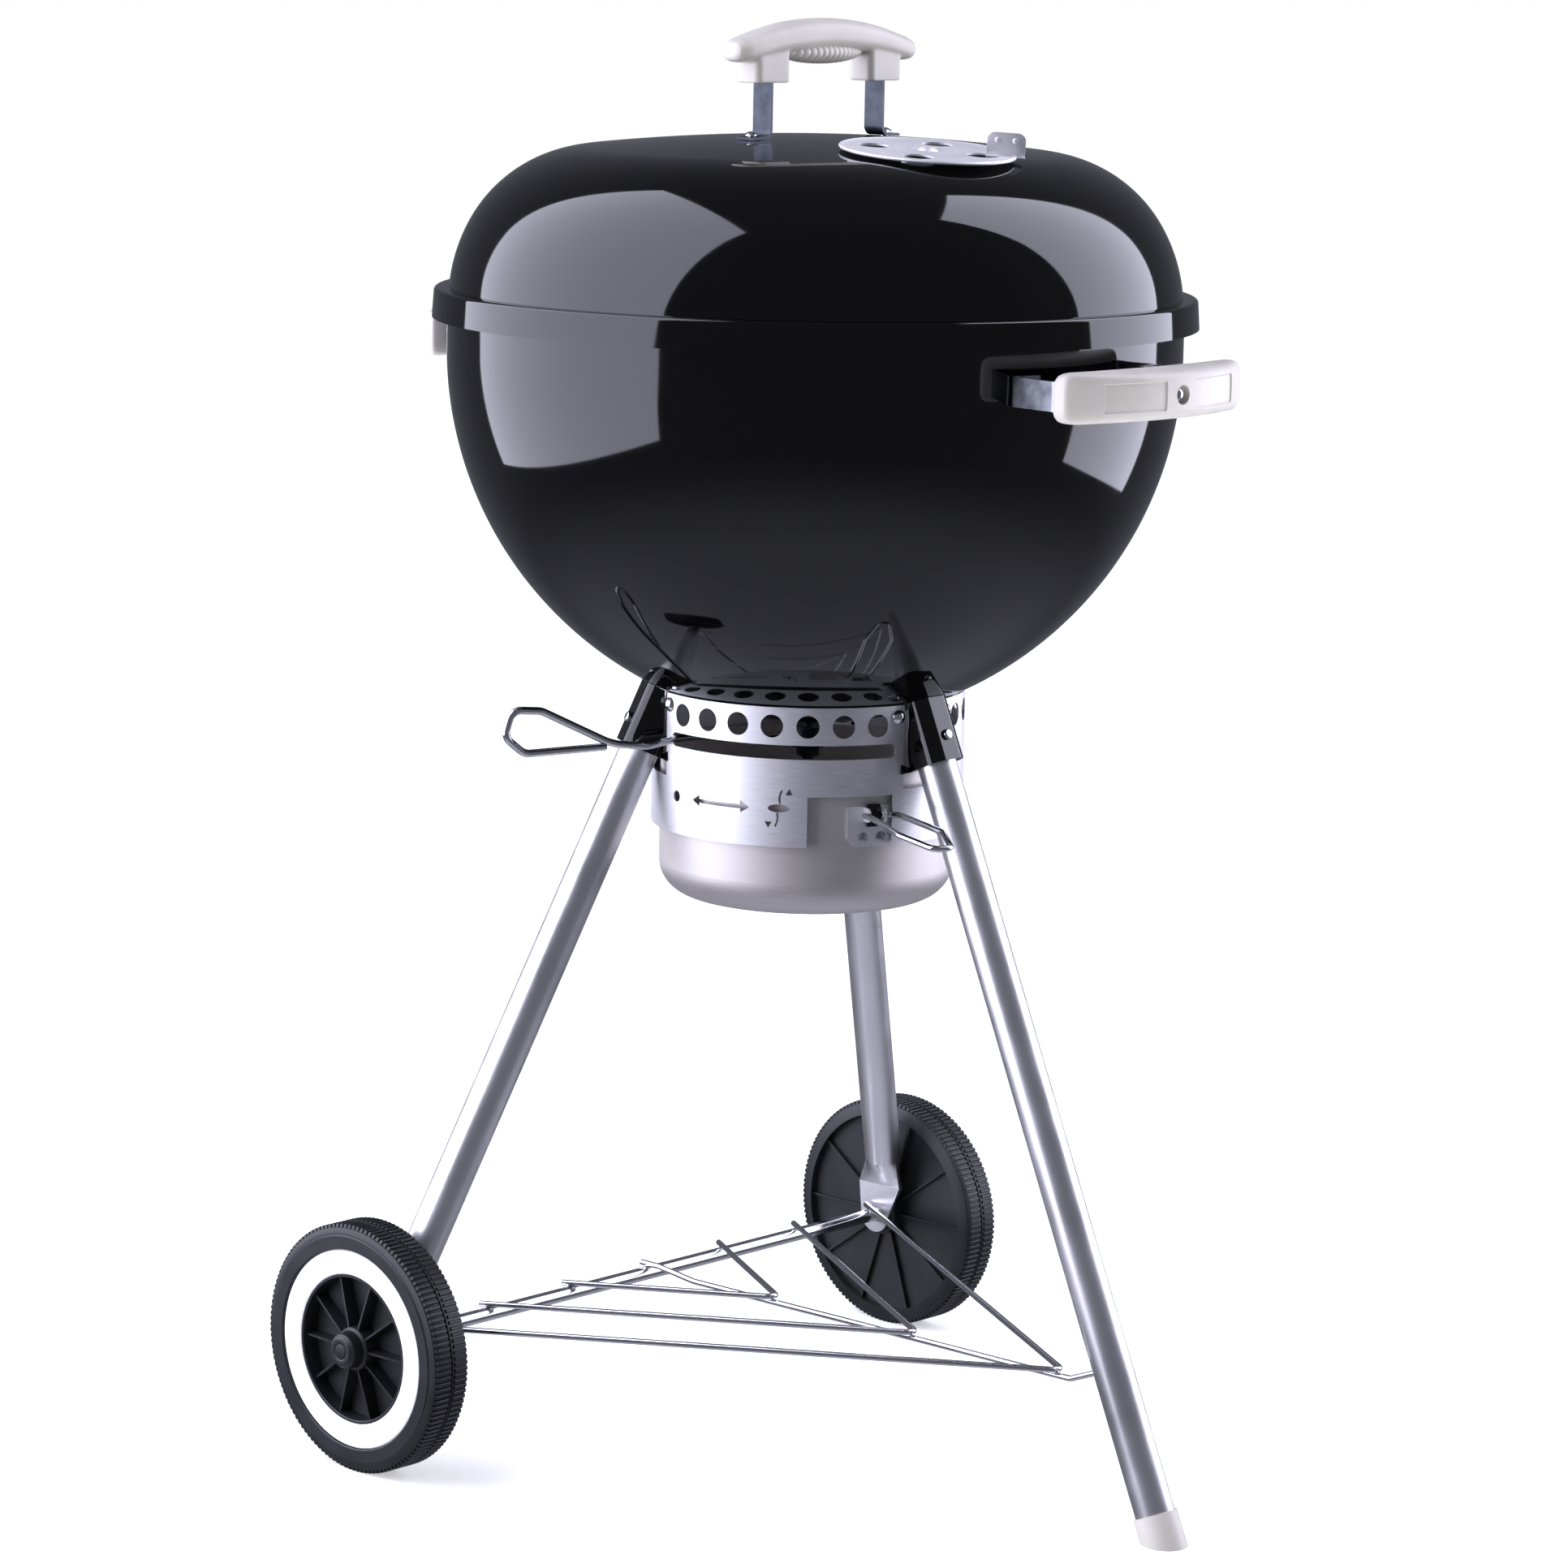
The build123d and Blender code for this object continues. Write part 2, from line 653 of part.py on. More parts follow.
# ---------------------------------------------------------------- bowl
def bowl_shell():
    """The pressed bowl with a rolled bead at its rim, and its bottom plate with three slots."""
    bead_centre = (bowl_radius + bead_radius - kettle_steel, bead_centre_height)
    outer = bowl_line(0.0, bead_centre_height)
    inner = bowl_line(kettle_steel, bead_centre_height)
    top_outer = outer[-1] @ 1
    top_inner = inner[-1] @ 1
    bottom_outer = outer[0] @ 0
    bottom_inner = inner[0] @ 0
    wall = revolved([*outer, *inner, Line(top_outer, top_inner), Line(bottom_outer, bottom_inner)])
    ring = revolve(Plane.XZ * Pos(*bead_centre) * Circle(bead_radius), Axis.Z, 360)
    hollow = revolve(Plane.XZ * Pos(*bead_centre) * Circle(bead_radius - kettle_steel), Axis.Z, 360)
    slots = [
        turned(
            Pos(vent_slot_reach, 0, bowl_bottom)
            * extrude(SlotOverall(vent_slot_length, vent_slot_width), cutter, both=True),
            azimuth,
        )
        for azimuth in vent_azimuths
    ]
    shaft_hole = Pos(0, 0, bowl_bottom) * Cylinder(sweep_shaft_radius + running_gap, cutter)
    seam = Pos(0, 0, bowl_bottom) * Cylinder(bowl_floor_radius, 2 * cutter)
    return (wall + ring - hollow) - seam, (wall & seam) - slots - shaft_hole


def leg_frame(azimuth, height):
    """A location on a leg's axis at a height: Z up along the leg, X away from the grill."""
    place = on_circle(leg_floor_reach - leg_slope * height, azimuth, height)
    return Location(place) * Rot(0, 0, azimuth) * Rot(0, -leg_tilt, 0)


def button_height_on_leg():
    """The height on the leg's axis at which the lock button sits."""
    return socket_bottom_height + button_place * cos(tilt)


def button_bore(azimuth):
    """The hole for the lock button, outward from the leg's axis."""
    drill = Rot(0, 90, 0) * Cylinder(button_radius + running_gap, cutter, align=bottom_up)
    return leg_frame(azimuth, button_height_on_leg()) * drill


def leg_socket(azimuth):
    """The enamelled channel under the bowl that takes a leg's upper end."""
    bore = Circle(leg_radius + 2 * running_gap)
    tube = Rectangle(socket_width, socket_width)
    tube = fillet(tube.vertices(), socket_corner)
    flange = Pos(-socket_width / 2 + socket_steel, 0) * Rectangle(
        socket_steel * 2, socket_width + 2 * socket_flange
    )
    body = leg_frame(azimuth, socket_bottom_height) * extrude(tube + flange - bore, socket_length)
    bowl_block = revolved(
        [
            *bowl_line(-fit_gap, bead_centre_height),
            Line((bowl_radius + fit_gap, bead_centre_height), (0, bead_centre_height)),
            Line((0, bead_centre_height), (0, bowl_bottom - fit_gap)),
        ]
    )
    band_room = sector(0, band_radius + fit_gap, band_bottom, rim_height, 0, 360)
    return body - bowl_block - button_bore(azimuth) - band_room


def leg_top_height():
    """The height at which a leg ends, under the bowl."""
    height = socket_bottom_height
    while height < bowl_height_at(leg_floor_reach - leg_slope * height) - leg_top_room:
        height += 1.0
    return height


def leg_tube(azimuth, low_height):
    """The polished tube of one leg, from a height up to its top inside the socket."""
    length = (leg_top_height() - low_height) / cos(tilt)
    ring = Circle(leg_radius) - Circle(leg_radius - leg_wall)
    tube = leg_frame(azimuth, low_height) * extrude(ring, length)
    return tube - button_bore(azimuth)


def leg_front():
    """The leg that stands on its foot cap."""
    tube = leg_tube(leg_azimuths["front"], leg_end_height)
    return tube - centre_wire_hole()


def centre_wire_hole():
    """The hole in the front leg's back for the rack's centre wire."""
    end = rack_centre_points()[-1]
    before = rack_centre_points()[-2]
    direction = (Vector(*end) - Vector(*before)).normalized()
    start = Vector(*end) - direction * cutter
    return bar(start, Vector(*end) + direction, rack_wire_radius + running_gap)


def foot_cap():
    """The plastic cap on the front leg, cut level with the floor."""
    azimuth = leg_azimuths["front"]
    outer = Pos(0, 0, foot_cap_length) * Cylinder(
        foot_cap_radius, foot_cap_length + cutter, align=(Align.CENTER, Align.CENTER, Align.MAX)
    )
    bore = leg_frame(azimuth, leg_end_height) * Cylinder(leg_radius + running_gap, cutter, align=bottom_up)
    floor_room = Pos(0, -leg_floor_reach, -2 * cutter) * Cylinder(
        3 * foot_cap_radius, 2 * cutter, align=bottom_up
    )
    return leg_frame(azimuth, 0) * outer - floor_room - bore


def wheel_leg(azimuth):
    """A wheel leg: a tube whose lower end is pressed flat around the axle."""
    side = 1 if cos(radians(azimuth)) > 0 else -1
    tube = leg_tube(azimuth, crimp_top_height)
    top = leg_frame(azimuth, crimp_top_height)
    round_end = Plane(top) * Circle(leg_radius)
    flat_height = crimp_top_height - crimp_length
    flat_y = wheel_y - tab_shift
    flat_plane = Plane(
        origin=(side * tab_reach, flat_y, flat_height), x_dir=(0, 1, 0), z_dir=(0, 0, 1)
    )
    flat_end = flat_plane * Rectangle(tab_width - 2 * tab_shoulder, tab_thickness)
    crimp = loft([round_end, flat_end])
    outline = Polyline(
        (flat_y - tab_width / 2 + tab_shoulder, flat_height),
        (flat_y + tab_width / 2 - tab_shoulder, flat_height),
        (wheel_y + tab_end_width / 2, axle_height),
        (wheel_y - tab_end_width / 2, axle_height),
        close=True,
    )
    plate = make_face(outline) + Pos(wheel_y, axle_height) * Circle(tab_end_width / 2)
    plate = plate - Pos(wheel_y, axle_height) * Circle(axle_radius + running_gap)
    tab_plane = Plane(origin=(side * tab_reach, 0, 0), x_dir=(0, 1, 0), z_dir=(1, 0, 0))
    tab = extrude(tab_plane * plate, tab_thickness / 2, both=True)
    return tube + crimp + tab


def leg_button(azimuth):
    """The sprung button that locks a leg in its socket, with its head inside the tube."""
    place = leg_frame(azimuth, button_height_on_leg())
    outside = socket_width / 2 + button_height
    inside = sqrt((leg_radius - leg_wall) ** 2 - button_head_radius**2) - fit_gap
    stem = Pos(inside, 0, 0) * Rot(0, 90, 0) * Cylinder(button_radius, outside - inside, align=bottom_up)
    stem = fillet(stem.edges().sort_by(Axis.X)[-1], button_edge)
    head = Pos(inside - button_head_thickness, 0, 0) * Rot(0, 90, 0) * Cylinder(
        button_head_radius, button_head_thickness, align=bottom_up
    )
    return place * (stem + head)


# ---------------------------------------------------------------- ash band
def ash_band():
    """The brushed ring under the bowl, with holes, a lever slot and the catcher's window."""
    inner = band_radius - band_steel
    top = bowl_height_at(inner) - fit_gap
    ring = sector(inner, band_radius, band_bottom, top, 0, 360)
    cuts = []
    for azimuth in leg_azimuths.values():
        half = 60 - band_half_span
        cuts.append(
            sector(
                inner - band_cut, band_radius + band_cut, band_notch_bottom, top + band_cut,
                azimuth - half, azimuth + half,
            )
        )
    drill = Cylinder(band_hole_radius, cutter, rotation=(0, 90, 0))
    first = -band_hole_pitch * (band_holes_per_side - 1) / 2
    for middle in band_hole_middles:
        for turn in range(band_holes_per_side):
            azimuth = middle + first + turn * band_hole_pitch
            cuts.append(turned(Pos(band_radius, 0, band_hole_height) * drill, azimuth))
    slot_top = lever_slot_bottom + lever_slot_height
    half_slot = lever_slot_half_span - degrees(lever_slot_height / 2 / band_radius)
    slot_ends = (lever_slot_middle - half_slot, lever_slot_middle + half_slot)
    cuts.append(sector(inner - band_cut, band_radius + band_cut, lever_slot_bottom, slot_top, *slot_ends))
    slot_drill = Cylinder(lever_slot_height / 2, cutter, rotation=(0, 90, 0))
    for azimuth in slot_ends:
        cuts.append(turned(Pos(band_radius, 0, (lever_slot_bottom + slot_top) / 2) * slot_drill, azimuth))
    cuts.append(
        sector(
            inner - band_cut, band_radius + band_cut, band_bottom - band_cut, catcher_window_top,
            *catcher_window,
        )
    )
    sight_drill = Cylinder(sight_radius, cutter, rotation=(0, 90, 0))
    cuts.append(turned(Pos(band_radius, 0, sight_height) * sight_drill, sight_azimuth))
    return ring - cuts - arrow_cut() - flow_cut()


def on_band(shape_height, azimuth):
    """A plane that touches the band at an azimuth: X to the right as seen, Y up."""
    place = on_circle(band_radius, azimuth, shape_height)
    side = on_circle(1, azimuth + 90)
    return Plane(origin=place, x_dir=side, z_dir=on_circle(1, azimuth))


def arrow_cut():
    """The double arrow cut through the band beside the catcher's window."""
    shaft_half = arrow_half_span - arrow_head_overlap
    shaft = sector(
        band_radius - sign_depth, band_radius + band_cut,
        arrow_height - arrow_half_shaft, arrow_height + arrow_half_shaft,
        arrow_azimuth - shaft_half, arrow_azimuth + shaft_half,
    )
    tips = []
    for side in (-1, 1):
        azimuth = arrow_azimuth + side * (arrow_half_span - arrow_head_inset)
        tip = Triangle(a=arrow_head[0], b=arrow_head[1], c=arrow_head[2])
        face = on_band(arrow_height, azimuth) * Rot(0, 0, -90 * side) * tip
        tips.append(extrude(face, sign_depth, both=True))
    return [shaft, *tips]


def flow_cut():
    """The air-flow sign: a flat oval crossed by two curved arrows, cut through the band."""
    sign = on_band(sign_height, sign_azimuth)
    cut = [extrude(sign * Ellipse(*sign_oval), sign_depth, both=True)]
    tip = Triangle(a=sign_head, b=sign_head, c=sign_head)
    for side in (-1, 1):
        middle = (side * sign_arc_place[0], side * sign_arc_place[1])
        arc = CenterArc(middle, sign_arc_radius, sign_arc_start + 90 * side, sign_arc_span)
        stroke = SlotArc(arc, sign_stroke)
        cut.append(extrude(sign * Pos(-side * sign_stroke_shift, 0) * stroke, sign_depth, both=True))
        place = Pos(side * sign_head_place[0], side * sign_head_place[1])
        cut.append(extrude(sign * place * Rot(0, 0, 90 - side * 90) * tip, sign_depth, both=True))
    return cut


def band_screws():
    """The round-headed bolts that hold the band and the sockets to the bowl."""
    made = []
    for azimuth in leg_azimuths.values():
        for side in (-1, 1):
            turn = azimuth + side * band_screw_turn
            outward = Location(on_circle(band_radius + fit_gap, turn, band_screw_height))
            outward = outward * Rot(0, 0, turn) * Rot(0, 90, 0)
            made.append(outward * dome(band_screw_radius, band_screw_rise))
    return Compound(children=made)


# ---------------------------------------------------------------- vent sweep
def sweep_blades():
    """Three curved blades that wipe over the bowl's vent slots, on one hub disc."""
    lift = kettle_steel + fit_gap
    low = bowl_arcs(lift)
    high = bowl_arcs(lift + sweep_blade_steel)
    reach = sweep_blade_reach
    low_end = degrees(atan2(-(low[2][1] - bowl_height_at(reach, lift)), reach))
    high_end = degrees(atan2(-(high[2][1] - bowl_height_at(reach, lift + sweep_blade_steel)), reach))
    lower = arc_between(low[2], low[3], -90, low_end)
    upper = arc_between(high[2], high[3], -90, high_end)
    skin = revolved([lower, upper, Line(lower @ 1, upper @ 1), Line(lower @ 0, upper @ 0)])
    plan = Circle(sweep_hub_radius)
    for azimuth in vent_azimuths:
        arm = Pos(reach / 2, 0) * SlotOverall(reach + sweep_blade_width / 2, sweep_blade_width)
        plan += turned(arm, azimuth + sweep_rest)
    column = Pos(0, 0, bowl_bottom) * extrude(plan, 2 * cutter)
    hole = Pos(0, 0, bowl_bottom) * Cylinder(sweep_shaft_radius + running_gap, cutter)
    return (skin & column) - hole


def sweep_shaft():
    """The sweep's shaft: a head over the blades, and a shank down through the bowl."""
    blades_top = bowl_bottom + kettle_steel + fit_gap + sweep_blade_steel
    shank_bottom = lever_collar_bottom - sweep_shank_room
    head_bottom = blades_top + fit_gap + sweep_head_radius**2 / (2 * bowl_arcs(0)[3])
    shank = Pos(0, 0, shank_bottom) * Cylinder(
        sweep_shaft_radius, head_bottom - shank_bottom, align=bottom_up
    )
    head = Pos(0, 0, head_bottom) * dome(sweep_head_radius, sweep_head_rise)
    return shank + head


def sweep_lever():
    """The bent wire lever under the bowl, which ends in a long loop."""
    points = [
        (lever_collar_radius - lever_seat, 0, lever_hub_height),
        (lever_hub_end, 0, lever_hub_height),
    ]
    points += [(band_radius + run, 0, height) for run, height in lever_corners]
    return turned(wire_along(points, lever_bends, lever_wire_radius), lever_azimuth)


def sweep_collar():
    """The collar under the bowl that clamps the lever to the shaft."""
    height = lever_collar_top - lever_collar_bottom
    collar = Pos(0, 0, lever_collar_bottom) * Cylinder(lever_collar_radius, height, align=bottom_up)
    collar = collar - Pos(0, 0, lever_collar_bottom) * Cylinder(sweep_shaft_radius + running_gap, cutter)
    wire_hole = bar(
        (lever_collar_radius - lever_seat - running_gap, 0, lever_hub_height),
        (lever_collar_radius + cutter, 0, lever_hub_height),
        lever_wire_radius + running_gap,
    )
    return collar - turned(wire_hole, lever_azimuth)


def sweep_nut():
    """The nut at the lower end of the sweep's shaft."""
    nut = extrude(RegularPolygon(sweep_nut_radius, 6), sweep_nut_height)
    nut = Pos(0, 0, lever_collar_bottom - sweep_nut_height - 2 * running_gap) * nut
    return nut - Pos(0, 0, lever_collar_bottom) * Cylinder(sweep_shaft_radius + running_gap, cutter)


# ---------------------------------------------------------------- ash catcher
def ash_catcher():
    """The satin cup that hangs in the band and collects the ash."""
    wall = catcher_radius - catcher_sheet
    corner = (catcher_radius - catcher_corner, catcher_bottom + catcher_corner)
    lip = band_radius - band_steel - fit_gap
    outline = [
        Line((0, catcher_bottom), (corner[0], catcher_bottom)),
        arc_between(corner, catcher_corner, -90, 0),
        Line((catcher_radius, corner[1]), (catcher_radius, catcher_top - catcher_sheet)),
        Line((catcher_radius, catcher_top - catcher_sheet), (lip, catcher_top - catcher_sheet)),
        Line((lip, catcher_top - catcher_sheet), (lip, catcher_top)),
        Line((lip, catcher_top), (wall, catcher_top)),
        Line((wall, catcher_top), (wall, corner[1])),
        arc_between(corner, catcher_corner - catcher_sheet, 0, -90),
        Line((corner[0], catcher_bottom + catcher_sheet), (0, catcher_bottom + catcher_sheet)),
        Line((0, catcher_bottom + catcher_sheet), (0, catcher_bottom)),
    ]
    return revolved(outline)


def ear_offset():
    """How far each of the bracket's ears stands from the bracket's middle."""
    return bail_base / 2 - bail_wire_radius - fit_gap - ear_thickness / 2


def catcher_bracket():
    """The plate on the catcher's side, whose two ears carry the bail."""
    inner = catcher_radius + bracket_gap
    plate = sector(
        inner, inner + bracket_steel, bracket_bottom, bracket_top,
        bracket_azimuth - bracket_half_span, bracket_azimuth + bracket_half_span,
    )
    width = radians(bracket_half_span) * inner
    side_length = bracket_corner * sqrt(2)
    cuts = []
    for side in (-1, 1):
        chamfer_box = Box(cutter, side_length, side_length, rotation=(45, 0, 0))
        place = Pos(inner, side * width, bracket_bottom) * chamfer_box
        cuts.append(turned(place, bracket_azimuth))
    plate = plate - cuts
    ears = []
    reach = bail_pivot_reach + ear_overreach - inner - ear_root
    for side in (-1, 1):
        ear = Pos(inner + ear_root + reach / 2, side * ear_offset(), bail_pivot_height) * Box(
            reach, ear_thickness, ear_height
        )
        ear = fillet(ear.edges().filter_by(Axis.Y).group_by(Axis.X)[-1], ear_corner)
        ears.append(turned(ear, bracket_azimuth))
    pin_hole = Pos(bail_pivot_reach, 0, bail_pivot_height) * Cylinder(
        bail_wire_radius + running_gap, cutter, rotation=(90, 0, 0)
    )
    rivet_holes = [turned(part, bracket_azimuth) for part in rivet_bores(running_gap)]
    return plate + ears - turned(pin_hole, bracket_azimuth) - rivet_holes


def rivet_bores(gap):
    """The holes for the bracket's rivets, a gap larger than their shanks."""
    return [
        Pos(catcher_radius, y, bracket_bottom + catcher_rivet_rise)
        * Cylinder(catcher_rivet_radius + gap, cutter, rotation=(0, 90, 0))
        for y in catcher_rivet_places
    ]


def catcher_rivets():
    """The rivets that hold the bracket to the catcher."""
    made = []
    for y in catcher_rivet_places:
        face = sqrt((catcher_radius + bracket_gap + bracket_steel) ** 2 - y**2)
        place = Pos(face + fit_gap, y, bracket_bottom + catcher_rivet_rise) * Rot(0, 90, 0)
        made.append(turned(place * dome(*catcher_rivet_head), bracket_azimuth))
    return Compound(children=made)


def catcher_bail():
    """The wire loop that carries the catcher, hinged in the bracket's ears."""
    inner_y = ear_offset() - ear_thickness / 2 - bail_pin_end
    base = bail_base / 2
    tip = bail_tip_width / 2
    x = bail_pivot_reach
    z = bail_pivot_height
    neck = (x + bail_neck[0], base + bail_neck[1], z + bail_neck[2])
    shoulder = ((x + bail_tip_reach) / 2 + bail_shoulder[0], tip, z + bail_shoulder[1])
    half = [
        (x, inner_y, z),
        (x, base, z),
        neck,
        shoulder,
        (bail_tip_reach, tip - bail_tip_corner, bail_tip_height),
    ]
    points = half + [(point[0], -point[1], point[2]) for point in reversed(half)]
    return turned(wire_along(points, bail_bends, bail_wire_radius), bracket_azimuth)


# ---------------------------------------------------------------- wheels
def axle():
    """The steel axle through both leg tabs and both wheels."""
    reach = hub_cap_reach - hub_cap_wall
    return bar((-reach, wheel_y, axle_height), (reach, wheel_y, axle_height), axle_radius)


def wheel(side):
    """A plastic wheel with a recessed, ribbed web and a hub."""
    inner_face = wheel_outer_face - wheel_width
    rim_inner = wheel_radius - wheel_rim_depth
    web_outer = wheel_outer_face - wheel_web_inset
    web_inner = web_outer - wheel_web_thickness
    hub_inner = tab_reach + tab_thickness / 2 + 2 * fit_gap
    hub_outer = wheel_outer_face - wheel_hub_set_back
    outline = Polyline(
        (axle_radius + running_gap, hub_inner),
        (wheel_hub_radius, hub_inner),
        (wheel_hub_radius, web_inner),
        (rim_inner, web_inner),
        (rim_inner, inner_face),
        (wheel_radius, inner_face),
        (wheel_radius, wheel_outer_face),
        (trim_outer_radius + running_gap, wheel_outer_face),
        (trim_outer_radius + running_gap, web_outer),
        (wheel_hub_radius, web_outer),
        (wheel_hub_radius, hub_outer),
        (axle_radius + running_gap, hub_outer),
        close=True,
    )
    body = revolve(Plane.XZ * make_face(outline), Axis.Z, 360)
    corners = body.edges().filter_by(GeomType.CIRCLE)
    body = fillet(corners.filter_by(lambda edge: edge.radius > wheel_radius - fit_gap), wheel_bead)
    rib_start = wheel_hub_radius - wheel_rib_overlap
    rear_end = rim_inner + wheel_rib_overlap
    rear_low = inner_face + wheel_rib_set_back
    rear_rib = Pos((rib_start + rear_end) / 2, 0, rear_low) * Box(
        rear_end - rib_start, wheel_rib_thickness, web_inner + wheel_rib_root - rear_low, align=bottom_up
    )
    front_end = trim_inner_radius - fit_gap
    front_rib = Pos((rib_start + front_end) / 2, 0, web_outer - wheel_rib_root) * Box(
        front_end - rib_start, wheel_rib_thickness, wheel_front_rib + wheel_rib_root, align=bottom_up
    )
    step = 360.0 / wheel_rib_count
    rear_ribs = [Rot(0, 0, turn * step) * rear_rib for turn in range(wheel_rib_count)]
    front_ribs = [Rot(0, 0, (turn + 0.5) * step) * front_rib for turn in range(wheel_rib_count)]
    return wheel_frame(side) * (body + rear_ribs + front_ribs)


def wheel_frame(side):
    """A location on the axle's line with Z pointing out of the grill on one side."""
    return Location((0, wheel_y, axle_height)) * Rot(0, 90 * side, 0)


def wheel_trim(side):
    """The pale trim ring set into the wheel's face."""
    bottom = wheel_outer_face - wheel_web_inset
    ring = Pos(0, 0, bottom) * Cylinder(trim_outer_radius, wheel_web_inset - trim_set_back, align=bottom_up)
    ring = ring - Pos(0, 0, bottom) * Cylinder(trim_inner_radius, cutter)
    ring = fillet(ring.edges().group_by(Axis.Z)[-1], trim_edge)
    return wheel_frame(side) * ring


def wheel_cap(side):
    """The cap pressed onto the axle's end, which keeps the wheel on."""
    bottom = wheel_outer_face - wheel_hub_set_back + fit_gap
    cap = Pos(0, 0, bottom) * Cylinder(hub_cap_radius, hub_cap_reach - bottom, align=bottom_up)
    cap = fillet(cap.edges().group_by(Axis.Z)[-1], hub_cap_edge)
    bore_end = hub_cap_reach - hub_cap_wall + running_gap
    bore = Pos(0, 0, bore_end - cutter) * Cylinder(axle_radius + running_gap, cutter, align=bottom_up)
    return wheel_frame(side) * (cap - bore)


# ---------------------------------------------------------------- rack
def rack_height_at(y):
    """The height of the rack's wires at a place between the axle and the front leg."""
    start = axle_height + axle_radius + rack_wire_radius + fit_gap / 2
    return start + (wheel_y - y) / (rack_steepness * rack_half) * rack_rise


def rack_wire(name):
    """One V-shaped wire, whose two ends lie on the axle."""
    end_x = rack_ends[name]
    vertex_y = wheel_y - rack_steepness * end_x
    back_y = wheel_y + rack_overhang
    points = [
        (-end_x, back_y, rack_height_at(back_y)),
        (0, vertex_y, rack_height_at(vertex_y)),
        (end_x, back_y, rack_height_at(back_y)),
    ]
    return wire_along(points, [rack_bend], rack_wire_radius)


def rack_centre_points():
    """The corners of the rack's centre wire, from the axle to the front leg."""
    under = 2 * rack_wire_radius + fit_gap / 2
    end_height = rack_height_at(wheel_y) + centre_end_rise
    leg_back = leg_slope * end_height + leg_radius / cos(tilt) - leg_floor_reach
    first, second = [wheel_y - run for run in centre_run]
    last = leg_back + centre_leg_run
    return [
        (0, wheel_y + rack_overhang, rack_height_at(wheel_y)),
        (0, first, rack_height_at(first)),
        (0, second, rack_height_at(second) - under),
        (0, last, rack_height_at(last) - under),
        (0, leg_back - centre_leg_depth, end_height),
    ]


def rack_wire_centre():
    """The wire that runs under the V-shaped wires into the front leg."""
    return wire_along(rack_centre_points(), [centre_bend] * 3, rack_wire_radius)


# ---------------------------------------------------------------- bowl handles
def bowl_handle_strap():
    """The steel strap that bridges two feet on the bowl's wall, before it is lifted."""
    wall = bowl_radius + fit_gap
    foot_start = degrees(handle_strap_inner / wall)
    foot_end = degrees((handle_strap_outer - handle_foot_trim) / wall)
    foot_middle = (foot_start + foot_end) / 2
    foot_radius = wall + handle_strap_steel / 2
    foot = ThreePointArc(
        *[on_circle(foot_radius, 270 + angle) for angle in (foot_start, foot_middle, foot_end)]
    )
    knee = (foot @ 1) + (foot % 1) * handle_knee_run
    bridge = FilletPolyline(
        (0, -handle_bridge_reach, 0),
        (handle_strap_outer + handle_knee_outset, -handle_bridge_reach, 0),
        (knee.X, knee.Y, 0),
        (foot @ 1),
        radius=handle_bends,
    )
    section = Plane(origin=bridge @ 0, x_dir=(0, 0, 1), z_dir=bridge % 0)
    half = sweep(section * Rectangle(handle_strap_width, handle_strap_steel), path=bridge)
    half += sector(
        wall, wall + handle_strap_steel, -handle_strap_width / 2, handle_strap_width / 2,
        270 + foot_start, 270 + foot_end,
    )
    screw_hole = Pos(0, -handle_bridge_reach, 0) * Cylinder(
        handle_shank_radius + running_gap, cutter, rotation=(90, 0, 0)
    )
    return half + mirror(half, Plane.YZ) - screw_hole


def bowl_handle_grip():
    """The bowed plastic grip with its screw's recess, before it is lifted."""
    back = -(handle_bridge_reach + handle_strap_steel / 2 + fit_gap / 3)
    half = handle_grip_half
    end_face = -handle_grip_end_face
    outline = [
        ThreePointArc((-half, end_face), (0, -handle_grip_face), (half, end_face)),
        Line((half, end_face), (half, back)),
        Line((half, back), (-half, back)),
        Line((-half, back), (-half, end_face)),
    ]
    grip = extrude(make_face(outline), handle_grip_height / 2, both=True)
    grip = fillet(grip.edges().filter_by(Axis.Z), handle_grip_corner)
    layers = grip.edges().group_by(Axis.Z)
    grip = fillet(layers[-1] + layers[0], handle_grip_edge)
    recess = Pos(0, -handle_grip_face, 0) * Cylinder(
        handle_screw_radius + fit_gap, 2 * handle_screw_recess, rotation=(90, 0, 0)
    )
    shank_hole = Pos(0, back, 0) * Cylinder(
        handle_shank_radius + running_gap, 3 * cutter, rotation=(90, 0, 0)
    )
    return grip - recess - shank_hole


def bowl_handle_screw():
    """The screw through the grip and the strap, with its nut, before it is lifted."""
    head_y = handle_screw_recess - handle_grip_face
    head = Pos(0, head_y, 0) * Rot(90, 0, 0) * dome(handle_screw_radius, handle_screw_rise)
    shank = bar((0, head_y, 0), (0, handle_screw_end - handle_bridge_reach, 0), handle_shank_radius)
    nut_y = 2 * running_gap + handle_strap_steel / 2 - handle_bridge_reach
    nut = Pos(0, nut_y, 0) * Rot(-90, 0, 0) * extrude(RegularPolygon(nut_radius, 6), nut_height)
    return head + shank + nut


# ---------------------------------------------------------------- grates
def rod_grate(radius, height, pitch):
    """A round wire grate: a ring with two cross bars, and rods that lie across them."""
    inside = radius - grate_ring_radius
    frame = Pos(0, 0, height) * Torus(inside, grate_ring_radius)
    for y in (-radius * grate_bar_share, radius * grate_bar_share):
        reach = sqrt(inside**2 - y**2)
        frame += bar((-reach, y, height), (reach, y, height), grate_ring_radius)
    rods = []
    rod_height = height + grate_ring_radius + grate_rod_radius + running_gap
    last = int((inside - pitch * grate_end_share) / pitch)
    for turn in range(-last, last + 1):
        x = turn * pitch
        reach = sqrt(inside**2 - x**2)
        rods.append(bar((x, -reach, rod_height), (x, reach, rod_height), grate_rod_radius))
    return frame, Compound(children=rods)


